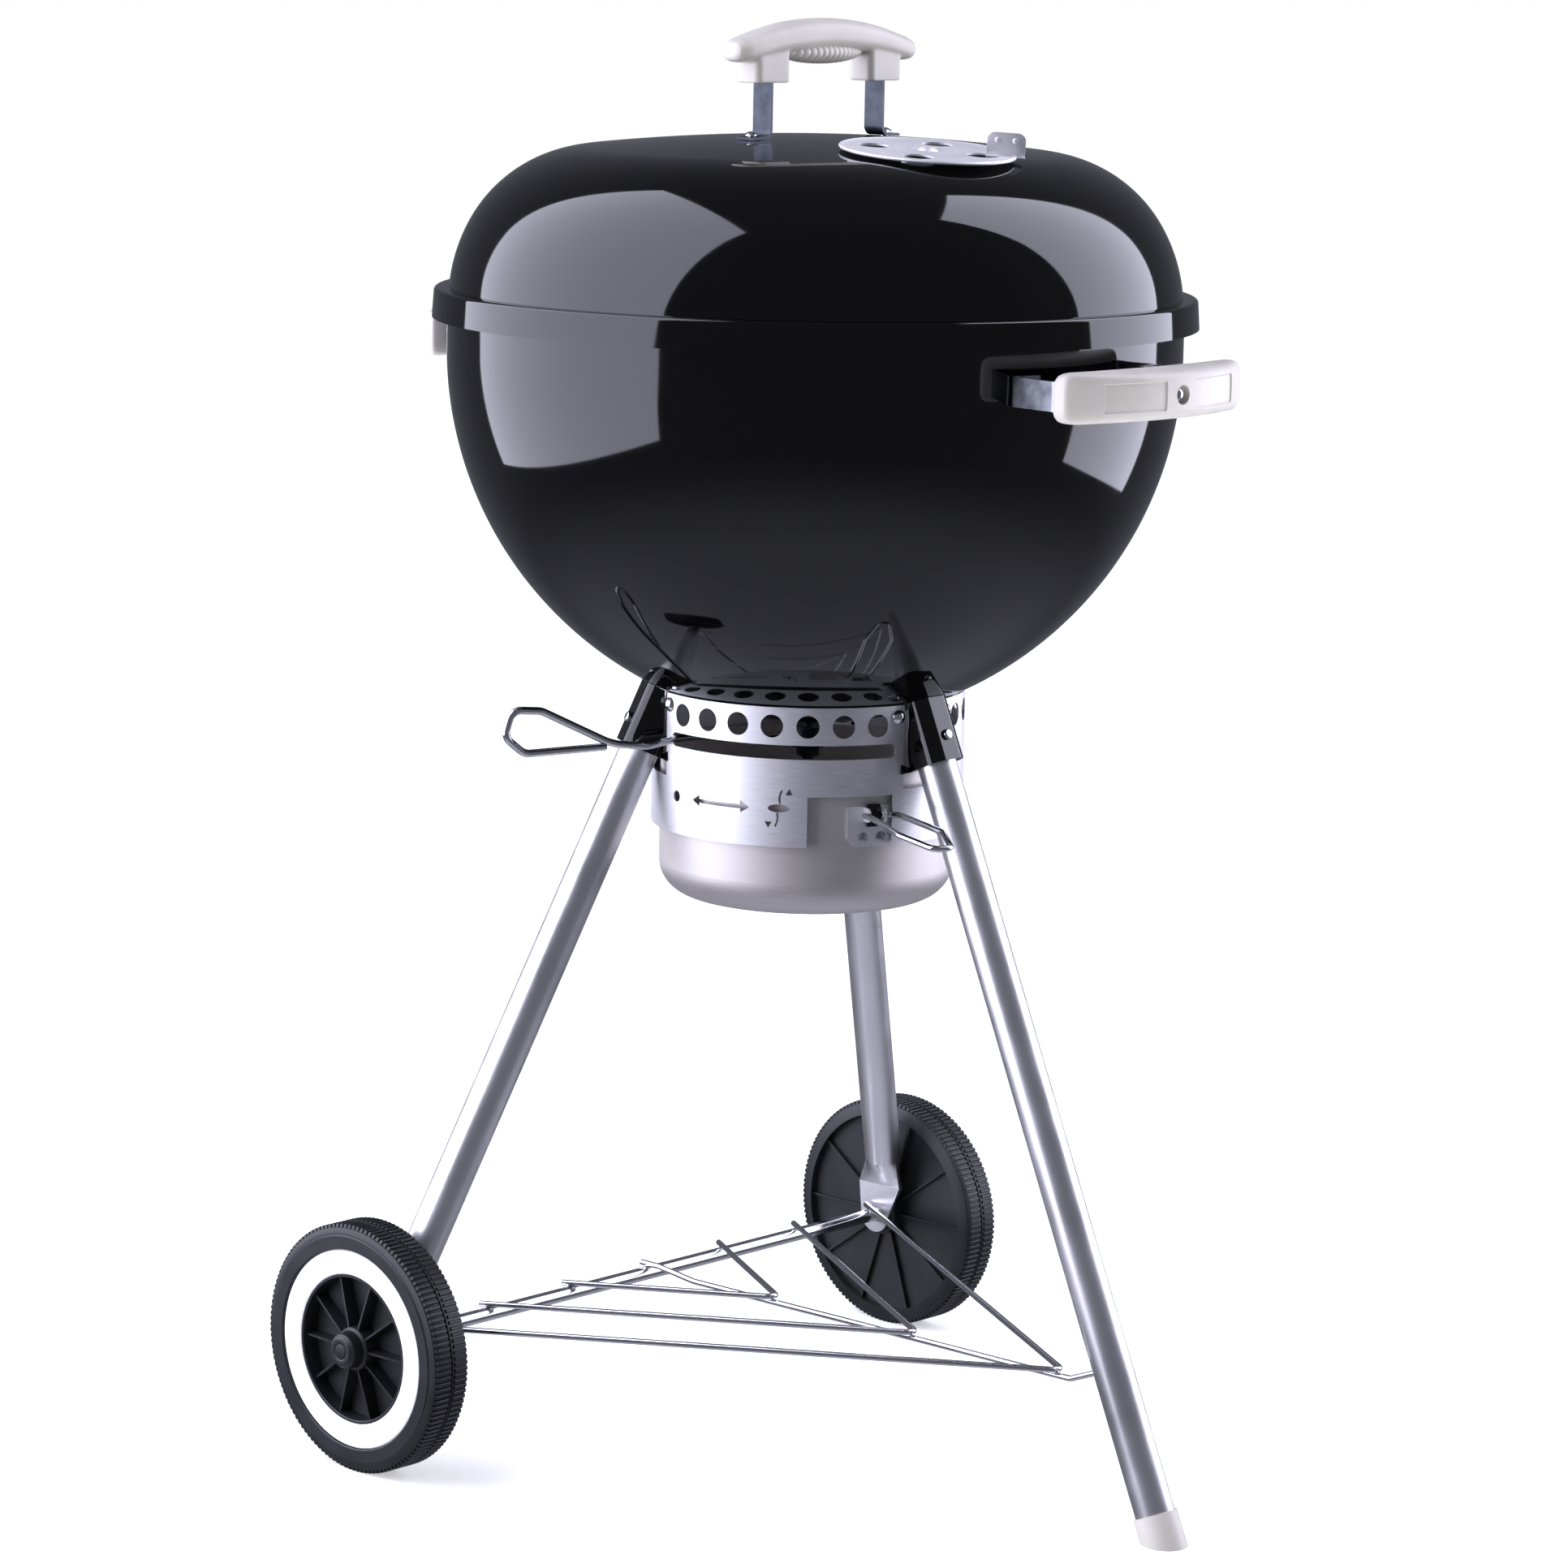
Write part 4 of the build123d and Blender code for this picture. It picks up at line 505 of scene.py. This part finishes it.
enamel = porcelainEnamel()
nylon = nylonMoulded()
trimWhite = trimPlastic()
wheelBlack = wheelPlastic()
sheetBright = pressedAluminium()
bandSteel = roundBrushed("stainless_steel_brushed", ("dcdde0", "f2f2f4"), 0.5, 14, 0.25, 0.44, 0.56, 0.5)
cupAluminium = roundBrushed("aluminium_satin_spun", ("d6d3d0", "e2dfdc"), 0.8, 30, 0.1, 0.54, 0.64, 0.3)
strapSteel = coldRolledSteel("steel_strip_zinc_plated", ("8d9299", "a9adb4"))
# painted reflection: a darker copy of the same strip steel, standing in for the dark surroundings that these strips
# mirror
strapPaintedDark = coldRolledSteel("steel_strip_painted_dark", ("34373d", "484c53"))
wire = brightWire()
ownFinishes = {
    "lid_handle_bracket_left": strapPaintedDark,
    "lid_handle_bracket_right": strapPaintedDark,
    "catcher_bracket": sheetBright,
    "sweep_shaft": strapPaintedDark,
    "sweep_collar": strapPaintedDark,
    "sweep_nut": strapPaintedDark,
    "leg_front": legAluminium("aluminium_tube_front", 270),
    "leg_left": legAluminium("aluminium_tube_left", 150),
    "leg_right": legAluminium("aluminium_tube_right", 30),
}
slotFinishes = {
    "black_enamel": enamel,
    "off_white_plastic": nylon,
    "dark_wheel_plastic": wheelBlack,
    "polished_aluminium": sheetBright,
    "brushed_steel": bandSteel,
    "satin_aluminium": cupAluminium,
    "sheet_steel": strapSteel,
    "plated_steel": wire,
}
for part in frame["record"]["subparts"]:
    node = frame["nodes"][part["node"]]
    node.data.materials.clear()
    node.data.materials.append(ownFinishes.get(part["node"], slotFinishes[part["material_slot"]]))
print("materials done")

# wheels

wheelNodes = {"wheelLeft": "wheel_left", "wheelRight": "wheel_right"}

wheelSizes = {
    "tread": 80.1, "crown": 81.45, "shoulder": 4.0, "width": 31.0, "rimInside": 70.5,
    "trimOutside": 65.2, "trimSeat": -6.0, "lipOutside": 48.6, "lipInside": 46.4, "lipFace": -1.6,
    "webFace": -13.0, "webBack": -25.5, "hub": 15.0, "hubFace": -1.0, "bore": 4.75,
    "partingHalf": 0.7, "partingRise": 1.0, "partingTop": 0.6,
    "edge": 0.7, "flange": (73.8, 74.6), "hubChamfer": (2.5, 1.0, 1.5), "lipRound": (0.4, 0.6, 1.0), "hubEnd": 1.0,
    "lugCount": 132, "lugWidth": 2.3, "lugDeep": 3.2, "lugEnd": 1.6, "lugEdge": 0.35,
    "ribCount": 10, "ribHalf": 1.0, "ribFace": -3.0, "ribDrop": 1.8, "ribThin": 0.7,
    "hubSunk": 1.5, "webSunk": 0.5, "lipSunk": 0.6, "rimSunk": 0.5,
    "backRibHalf": 0.8, "backRibFace": 2.5,
}


def wheelPlace(side):
    # the wheel's outer face looks along +Z before it is turned onto the axle
    low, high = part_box("wheel_right")
    middle = ((low[1] + high[1]) / 2, (low[2] + high[2]) / 2)
    return Matrix.Translation((side * high[0], *middle)) @ Matrix.Rotation(math.radians(90 * side), 4, "Y")


def wheelBody(side, name):
    w = wheelSizes
    low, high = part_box("wheel_right")
    hubBack = -(high[0] - low[0]) / mm
    middle = -w["width"] / 2
    turned = w["shoulder"]
    halfTurned = turned * (1 - math.cos(math.radians(45)))
    edge = w["edge"]
    ridge = w["partingHalf"] * w["partingTop"]
    chamferIn, chamferOut, chamferDown = w["hubChamfer"]
    roundIn, roundDown, roundOut = w["lipRound"]
    points = [
        (w["bore"], w["hubFace"]), (w["hub"] - chamferIn, w["hubFace"]),
        (w["hub"] - chamferOut, w["hubFace"] - chamferDown), (w["hub"], w["webFace"]), (w["lipInside"], w["webFace"]),
        (w["lipInside"] + roundIn, w["lipFace"] - roundDown), (w["lipInside"] + roundOut, w["lipFace"]),
        (w["lipOutside"], w["lipFace"]), (w["lipOutside"], w["trimSeat"]),
        (w["trimOutside"], w["trimSeat"]), (w["trimOutside"], -edge), (w["trimOutside"] + edge, 0),
        (w["flange"][0], 0), (w["flange"][1], -edge), (w["tread"] - turned, -edge),
        (w["tread"] - halfTurned, -edge - halfTurned), (w["tread"], -edge - turned),
        (w["tread"], middle + w["partingHalf"]), (w["tread"] + w["partingRise"], middle + ridge),
        (w["tread"] + w["partingRise"], middle - ridge), (w["tread"], middle - w["partingHalf"]),
        (w["tread"], -w["width"] + edge + turned), (w["tread"] - halfTurned, -w["width"] + edge + halfTurned),
        (w["tread"] - turned, -w["width"] + edge), (w["rimInside"], -w["width"]), (w["rimInside"], w["webBack"]),
        (w["hub"], w["webBack"]), (w["hub"], hubBack + w["hubEnd"]), (w["hub"] - w["hubEnd"], hubBack),
        (w["bore"], hubBack),
    ]
    bm = turnedShape(points, steps=144)
    end = w["lugEnd"]
    for near, far in ((-end, middle + end), (middle - end, -w["width"] + end)):
        lug = block(bm, (w["tread"] - w["lugDeep"], -w["lugWidth"] / 2, far), (w["crown"], w["lugWidth"] / 2, near))
        for vertex in lug:     # the shoulder end of a lug leans in with the shoulder
            outerEnd = abs(vertex.co.z / mm - middle) > w["width"] / 4
            if outerEnd and vertex.co.x > w["tread"] * mm:
                vertex.co.z += end * mm * (-1 if vertex.co.z / mm > middle else 1)
        top = [e for e in geometryOf(lug) if isinstance(e, bmesh.types.BMEdge)
               and all(v.co.x > w["tread"] * mm for v in e.verts)]
        before = set(bm.verts) - set(lug)
        softenEdges(bm, top, w["lugEdge"], 1)
        repeatRound(bm, geometryOf([v for v in bm.verts if v not in before]), w["lugCount"])
    step = math.pi / w["ribCount"]
    before = set(bm.verts)
    start = w["hub"] - w["hubSunk"]
    front = block(
        bm, (start, -w["ribHalf"], w["webFace"] - w["webSunk"]),
        (w["lipInside"] + w["lipSunk"], w["ribHalf"], w["ribFace"]),
    )
    for vertex in front:     # the front ribs run down from the hub to the rim and thin towards their edge
        if vertex.co.z > w["webFace"] / 2 * mm:
            vertex.co.y *= w["ribThin"]
            vertex.co.z -= w["ribDrop"] * mm if vertex.co.x > w["hub"] * 2 * mm else 0
    block(
        bm, (start, -w["backRibHalf"], -w["width"] + w["backRibFace"]),
        (w["rimInside"] + w["rimSunk"], w["backRibHalf"], w["webBack"] + w["webSunk"]),
    )
    ribs = [v for v in bm.verts if v not in before]
    bmesh.ops.rotate(bm, verts=ribs, cent=(0, 0, 0), matrix=Matrix.Rotation(step, 3, "Z"))
    repeatRound(bm, geometryOf(ribs), w["ribCount"])
    bmesh.ops.recalc_face_normals(bm, faces=bm.faces)
    piece = pieceFrom(bm, name + "Body", wheelBlack, wheelNodes[name], wheelPlace(side), 30)
    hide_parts(wheelNodes[name])


trimSizes = {
    "inside": 48.8, "outside": 65.0, "seat": -5.9, "face": -0.9,
    "innerSlope": (1.6, 1.2), "outerSlope": 1.0, "soft": 0.3,
}


def wheelTrim(side, name):
    t = trimSizes
    out, down = t["innerSlope"]
    slope = t["outerSlope"]
    bm = turnedShape([
        (t["inside"], t["seat"]), (t["inside"], t["face"] - down), (t["inside"] + out, t["face"]),
        (t["outside"] - slope, t["face"]), (t["outside"], t["face"] - slope), (t["outside"], t["seat"]),
    ], steps=144)
    softenEdges(bm, sharpEdges(bm, 30), t["soft"])
    piece = pieceFrom(bm, name + "Trim", trimWhite, wheelNodes[name], wheelPlace(side), 30)
    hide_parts(wheelNodes[name].replace("wheel", "wheel_trim"))


capSizes = {
    "foot": 12.0, "footFace": -0.7, "neck": 11.3, "face": 8.4, "chamfer": 2.6,
    "ring": (4.4, 4.7, 5.3, 5.6), "ringDeep": 0.5, "bore": 4.75, "boreEnd": 3.5, "soft": 0.25,
}


def hubCap(side, name):
    c = capSizes
    inner, innerFoot, outerFoot, outer = c["ring"]
    bm = turnedShape([
        (0, c["face"]), (inner, c["face"]), (innerFoot, c["face"] - c["ringDeep"]),
        (outerFoot, c["face"] - c["ringDeep"]), (outer, c["face"]),
        (c["neck"] - c["chamfer"], c["face"]), (c["neck"], c["face"] - c["chamfer"]), (c["foot"], c["footFace"]),
        (c["bore"], c["footFace"]), (c["bore"], c["boreEnd"]), (0, c["boreEnd"]),
    ], steps=64)
    softenEdges(bm, sharpEdges(bm, 40), c["soft"])
    piece = pieceFrom(bm, name + "Cap", wheelBlack, "kettle", wheelPlace(side), 30)
    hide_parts(wheelNodes[name].replace("wheel", "wheel_cap"))


for wheelSide, wheelName in ((-1, "wheelLeft"), (1, "wheelRight")):
    wheelBody(wheelSide, wheelName)
    wheelTrim(wheelSide, wheelName)
    hubCap(wheelSide, wheelName)
print("wheels done")

# lid handle

lidGrip = {
    # x, height of the middle, half width and half height of the arched bar, in mm
    "bar": [
        (0, 919.9, 13.0, 10.0), (12, 919.6, 13.0, 10.0), (24, 918.9, 13.0, 9.8), (36, 917.7, 12.9, 9.5),
        (48, 915.8, 12.8, 9.2), (58, 913.8, 12.6, 8.8), (66, 912.0, 12.3, 8.4), (73, 910.6, 11.7, 7.9),
        (78, 909.8, 10.4, 6.9), (81, 909.5, 8.2, 5.2), (82.2, 909.4, 4.6, 2.8),
    ],
    "sides": 40, "squareness": 2.4, "voxel": 0.9, "blendShare": 0.5, "blendTimes": 7,
    "blockHalf": 15.0, "blockDeep": 10.0, "blockBottom": 890.1, "blockTop": 914.0,
    "blockPast": 0.9, "blockCorner": 4.0,
    "ribMiddle": 908.6, "ribHalf": (37.0, 10.8, 7.2),
    "ribPitch": 4.7, "ribRise": 0.75, "ribLean": 0.55, "ribRoundness": 0.7, "ribDip": 0.6,
}


def archedGrip():
    g = lidGrip
    half = [(x, 0, z, wide, high) for x, z, wide, high in g["bar"]]
    stations = [(-x, y, z, wide, high) for x, y, z, wide, high in reversed(half)] + half[1:]
    bm = sleeve(stations, g["sides"], g["squareness"])
    low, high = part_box("lid_handle_bracket_right")
    reach = low[0] / mm + g["blockPast"]
    for side in (-1, 1):
        made = block(
            bm, (side * reach - g["blockHalf"], -g["blockDeep"], g["blockBottom"]),
            (side * reach + g["blockHalf"], g["blockDeep"], g["blockTop"]),
        )
        upright = [e for e in geometryOf(made) if isinstance(e, bmesh.types.BMEdge)
                   and abs(e.verts[0].co.z - e.verts[1].co.z) > g["blockCorner"] * mm]
        softenEdges(bm, upright, g["blockCorner"], 5)
    piece = pieceFrom(bm, "lidGripBar", nylon, "lid")
    skin = piece.modifiers.new("skin", "REMESH")
    skin.mode = "VOXEL"
    skin.voxel_size = g["voxel"] * mm
    blend = piece.modifiers.new("blend", "SMOOTH")
    blend.factor = g["blendShare"]
    blend.iterations = g["blendTimes"]
    bakeModifiers(piece)
    piece.data.shade_smooth()
    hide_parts("lid_handle_grip")


def ropedUnderside():
    # the swelling under the grip, with slanting ridges for the fingers
    g = lidGrip
    bm = bmesh.new()
    halfX, halfY, halfZ = [value * mm for value in g["ribHalf"]]
    shape = Matrix.Translation((0, 0, g["ribMiddle"] * mm)) @ Matrix.Diagonal((halfX, halfY, halfZ, 1))
    bmesh.ops.create_uvsphere(
        bm, u_segments=32, v_segments=150, radius=1, matrix=shape @ Matrix.Rotation(math.radians(90), 4, "Y"),
    )
    for vertex in bm.verts:
        phase = (vertex.co.x + g["ribLean"] * vertex.co.y) / (g["ribPitch"] * mm)
        swell = abs(math.sin(math.pi * phase)) ** g["ribRoundness"]
        vertex.co += vertex.normal * g["ribRise"] * mm * (swell - g["ribDip"])
    closeMesh(bm)
    pieceFrom(bm, "lidGripRibs", nylon, "lid", None, 60)


archedGrip()
ropedUnderside()
print("lid handle done")

# grips on the bowl

bowlGrip = {
    "half": 83.0, "height": 15.4, "middleHeight": 715.0, "back": 269.1, "endFace": 281.0, "face": 302.9,
    "panelFrom": 14.0, "panelTo": 60.0, "panelHalf": 8.6, "panelDeep": 0.9, "panelEdge": 0.7,
    "recess": 6.0, "recessDeep": 4.0, "sides": 48, "squareness": 3.6,
    # how far along the grip, and the share of its full section that it has there, in mm
    "ends": [(83.0, 0.3), (82.6, 0.62), (81.6, 0.8), (79.8, 0.91), (77.0, 0.97), (73.0, 1.0)],
    "full": (69, 64.5, 60, 54, 48, 42, 36, 30, 24, 19, 14, 9.5, 5, 0),
}


def bowedGrip(side, name, node):
    g = bowlGrip
    bow = (g["half"] ** 2 + (g["face"] - g["endFace"]) ** 2) / (2 * (g["face"] - g["endFace"]))
    stations = []
    spots = g["ends"] + [(x, 1.0) for x in g["full"]]
    for x, share in spots + [(-x, share) for x, share in reversed(spots[:-1])]:
        face = g["face"] - (bow - math.sqrt(bow ** 2 - x ** 2))
        middle = (face + g["back"]) / 2
        deep = (face - g["back"]) / 2 * (0.5 + 0.5 * share)
        stations.append((x, side * middle, g["middleHeight"], deep, g["height"] * share))
    bm = sleeve(stations, g["sides"], g["squareness"])
    panels = [
        f for f in bm.faces
        if f.normal.y * side > 0.6 and abs(f.calc_center_median().z / mm - g["middleHeight"]) < g["panelHalf"]
        and g["panelFrom"] < abs(f.calc_center_median().x / mm) < g["panelTo"]
    ]
    bmesh.ops.inset_region(
        bm, faces=panels, thickness=g["panelEdge"] * mm, depth=-g["panelDeep"] * mm, use_even_offset=True,
    )
    piece = pieceFrom(bm, name, nylon, "kettle")
    hole = bmesh.new()
    place = Matrix.Translation((0, side * g["face"] * mm, g["middleHeight"] * mm))
    place = place @ Matrix.Rotation(math.radians(90), 4, "X")
    bmesh.ops.create_cone(
        hole, cap_ends=True, segments=40, radius1=g["recess"] * mm, radius2=g["recess"] * mm,
        depth=2 * g["recessDeep"] * mm, matrix=place,
    )
    cutAway(piece, hole)
    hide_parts(node)


bowedGrip(-1, "bowlGripFront", "handle_grip_front")
bowedGrip(1, "bowlGripRear", "handle_grip_rear")
print("bowl grips done")

# lid damper

damper = {
    "bore": 3.1, "under": 1.0, "top": 2.2, "boss": (9.0, 10.0, 14.5, 16.0), "bossRise": 0.7,
    "rim": 55.0, "rimSteps": (2.6, 1.6, 0.5, 0.3), "rimRise": 0.7, "rimShare": 0.7,
    "hole": 10.0, "holeReach": 34.0, "holeCount": 4, "holeDepth": 12.0,
    "tabTurn": 56.0, "tabFrom": 36.0, "tabTo": 60.0, "tabHalf": 0.6, "tabTop": 16.4, "tabCorner": 5.0,
    "footHalf": 5.0, "footSunk": 0.1, "footRise": 0.15, "soft": 0.22,
    "dimple": 1.9, "dimpleRise": 1.0, "dimplePlaces": (42.5, 53.5), "dimpleHeight": 11.5,
}


def damperPlace():
    joint = [j for j in frame["record"]["behaviour"]["joints"] if j["name"] == "vent_turn"][0]
    spot, axis = Vector(joint["pos_m"]), Vector(joint["axis"])
    turn = Matrix.Rotation(math.atan2(spot.y, spot.x), 4, "Z")
    return Matrix.Translation(spot) @ turn @ Matrix.Rotation(math.acos(axis.z), 4, "Y")


def ventDamper():
    d = damper
    inner, first, second, outer = d["boss"]
    top, raised = d["top"], d["top"] + d["bossRise"]
    foot, crest, fall, edge = [d["rim"] - step for step in d["rimSteps"]]
    bm = turnedShape([
        (d["bore"], d["under"]), (d["bore"], top), (inner, top), (first, raised), (second, raised), (outer, top),
        (foot, top), (crest, top + d["rimRise"]), (fall, top + d["rimRise"] * d["rimShare"]),
        (d["rim"], top - d["rimSteps"][-1]), (edge, d["under"]),
    ], steps=120)
    piece = pieceFrom(bm, "ventDamperDisc", sheetBright, "damper")
    holes = bmesh.new()
    bmesh.ops.create_cone(
        holes, cap_ends=True, segments=48, radius1=d["hole"] * mm, radius2=d["hole"] * mm,
        depth=d["holeDepth"] * mm,
        matrix=Matrix.Rotation(math.radians(45), 4, "Z") @ Matrix.Translation((d["holeReach"] * mm, 0, 0)),
    )
    repeatRound(holes, holes.verts[:] + holes.edges[:] + holes.faces[:], d["holeCount"])
    cutAway(piece, holes)
    piece.data.transform(damperPlace())
    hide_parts("vent_damper")


def damperTab():
    d = damper
    bm = bmesh.new()
    sunk = d["footSunk"]
    plate = block(bm, (d["tabFrom"], -d["tabHalf"], d["top"] - sunk), (d["tabTo"], d["tabHalf"], d["tabTop"]))
    corners = [e for e in geometryOf(plate) if isinstance(e, bmesh.types.BMEdge)
               and all(v.co.z > d["tabTop"] / 2 * mm for v in e.verts)
               and abs(e.verts[0].co.y - e.verts[1].co.y) > d["tabHalf"] * mm]
    softenEdges(bm, corners, d["tabCorner"], 8)
    block(
        bm, (d["tabFrom"], -d["footHalf"], d["under"] + sunk), (d["tabTo"], d["footHalf"], d["top"] + d["footRise"]),
    )
    softenEdges(bm, sharpEdges(bm, 50), d["soft"])
    for spot in d["dimplePlaces"]:
        for face in (-1, 1):
            place = Matrix.Translation((spot * mm, face * d["tabHalf"] * mm, d["dimpleHeight"] * mm))
            bmesh.ops.create_uvsphere(
                bm, u_segments=20, v_segments=12, radius=1,
                matrix=place @ Matrix.Diagonal((d["dimple"] * mm, d["dimpleRise"] * mm, d["dimple"] * mm, 1)),
            )
    turn = Matrix.Rotation(math.radians(d["tabTurn"]), 4, "Z")
    pieceFrom(bm, "ventDamperTab", sheetBright, "damper", damperPlace() @ turn, 30)


ventDamper()
damperTab()
print("damper done")

# bowl and lid: one turned skin each, finer than the CAD meshes, because they mirror the studio

kettle = {
    "steel": 1.2, "floorEdge": 94.1,
    "bottom": (0.0, 711.46, 230.26), "side": (-3.7, 719.05, 238.7), "meeting": 64.0,
    "bead": (236.8, 753.0, 3.0), "beadStart": -126.9, "steps": 240,
}
lidSizes = {
    "ledgeTop": 757.5, "skirtTop": 243.4, "skirtFoot": 244.6, "foot": 739.0, "ledgeRound": 2.2,
    "crown": (0.0, -443.96, 1300.0), "shoulder": (139.765, 755.424, 92.5), "side": (127.207, 748.174, 107.0),
    "ends": (83.353, 30.0, 5.0), "ventHole": 8.0, "ventCircle": 34.0, "holeCount": 4, "rivetHole": 3.05,
    "holeDepth": 20.0,
}


def arcPoints(centre, first, last, inset=0.0, step=1.5):
    # points of a circle (x, z, radius in mm) between two angles from level
    x, z, radius = centre
    count = max(1, math.ceil(abs(last - first) / step))
    turns = [math.radians(first + (last - first) * i / count) for i in range(count + 1)]
    return [(x + (radius - inset) * math.cos(t), z + (radius - inset) * math.sin(t)) for t in turns]


def bowlSkin():
    k = kettle
    start = math.degrees(math.acos(k["floorEdge"] / k["bottom"][2]))
    outer, inner = [
        arcPoints(k["bottom"], -start, -k["meeting"], inset) + arcPoints(k["side"], -k["meeting"], 0, inset)[1:]
        for inset in (0, k["steel"])
    ]
    bead = arcPoints(k["bead"], k["beadStart"], 180, 0, 12)
    bm = turnedShape(outer + bead + inner[::-1], k["steps"])
    piece = pieceFrom(bm, "bowlSkin", enamel, "kettle")
    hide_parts("bowl_shell")


def lidOutline(inset):
    s = lidSizes
    first, second, last = s["ends"]
    crown = arcPoints(s["crown"], 90, first, inset, 0.5)
    crown[0] = (0, crown[0][1])
    shoulder = arcPoints(s["shoulder"], first, second, inset)
    return crown + shoulder[1:] + arcPoints(s["side"], second, last, inset)[1:]


def lidSkin():
    k, s = kettle, lidSizes
    outer, inner = lidOutline(0), lidOutline(k["steel"])
    bend = s["ledgeRound"]
    ledge = arcPoints((s["skirtTop"] - bend, s["ledgeTop"] - bend, bend), 90, 4, 0, 15)
    skirt = [
        *ledge, (s["skirtFoot"], s["foot"]), (s["skirtFoot"] - k["steel"], s["foot"]),
        (s["skirtTop"] - k["steel"], s["ledgeTop"] - k["steel"]), (inner[-1][0], s["ledgeTop"] - k["steel"]),
    ]
    bm = turnedShape(outer + skirt + inner[::-1], k["steps"])
    piece = pieceFrom(bm, "lidSkin", enamel, "lid")
    holes = bmesh.new()
    for index in range(s["holeCount"]):
        swing = Matrix.Rotation(2 * math.pi * (index + 0.5) / s["holeCount"], 4, "Z")
        swing = swing @ Matrix.Translation((s["ventCircle"] * mm, 0, 0))
        bmesh.ops.create_cone(
            holes, cap_ends=True, segments=40, radius1=s["ventHole"] * mm, radius2=s["ventHole"] * mm,
            depth=s["holeDepth"] * mm, matrix=damperPlace() @ swing,
        )
    bmesh.ops.create_cone(
        holes, cap_ends=True, segments=32, radius1=s["rivetHole"] * mm, radius2=s["rivetHole"] * mm,
        depth=s["holeDepth"] * mm, matrix=damperPlace(),
    )
    cutAway(piece, holes)
    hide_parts("lid_shell")


bowlSkin()
lidSkin()
print("bowl and lid done")

# a black enamel block that fills the slot between the ears of the ash cup's bracket and darkens it

slotFill = {"azimuth": 248.5, "reach": (97.3, 99.4), "half": 4.6, "height": (427.0, 441.5), "soft": 0.5}


def cupSlotFill():
    bm = bmesh.new()
    near, far = slotFill["reach"]
    block(bm, (near, -slotFill["half"], slotFill["height"][0]), (far, slotFill["half"], slotFill["height"][1]))
    softenEdges(bm, sharpEdges(bm), slotFill["soft"])
    turn = Matrix.Rotation(math.radians(slotFill["azimuth"]), 4, "Z")
    pieceFrom(bm, "cupSlotFill", enamel, "catcher", turn)


cupSlotFill()
print("ash cup latch done")
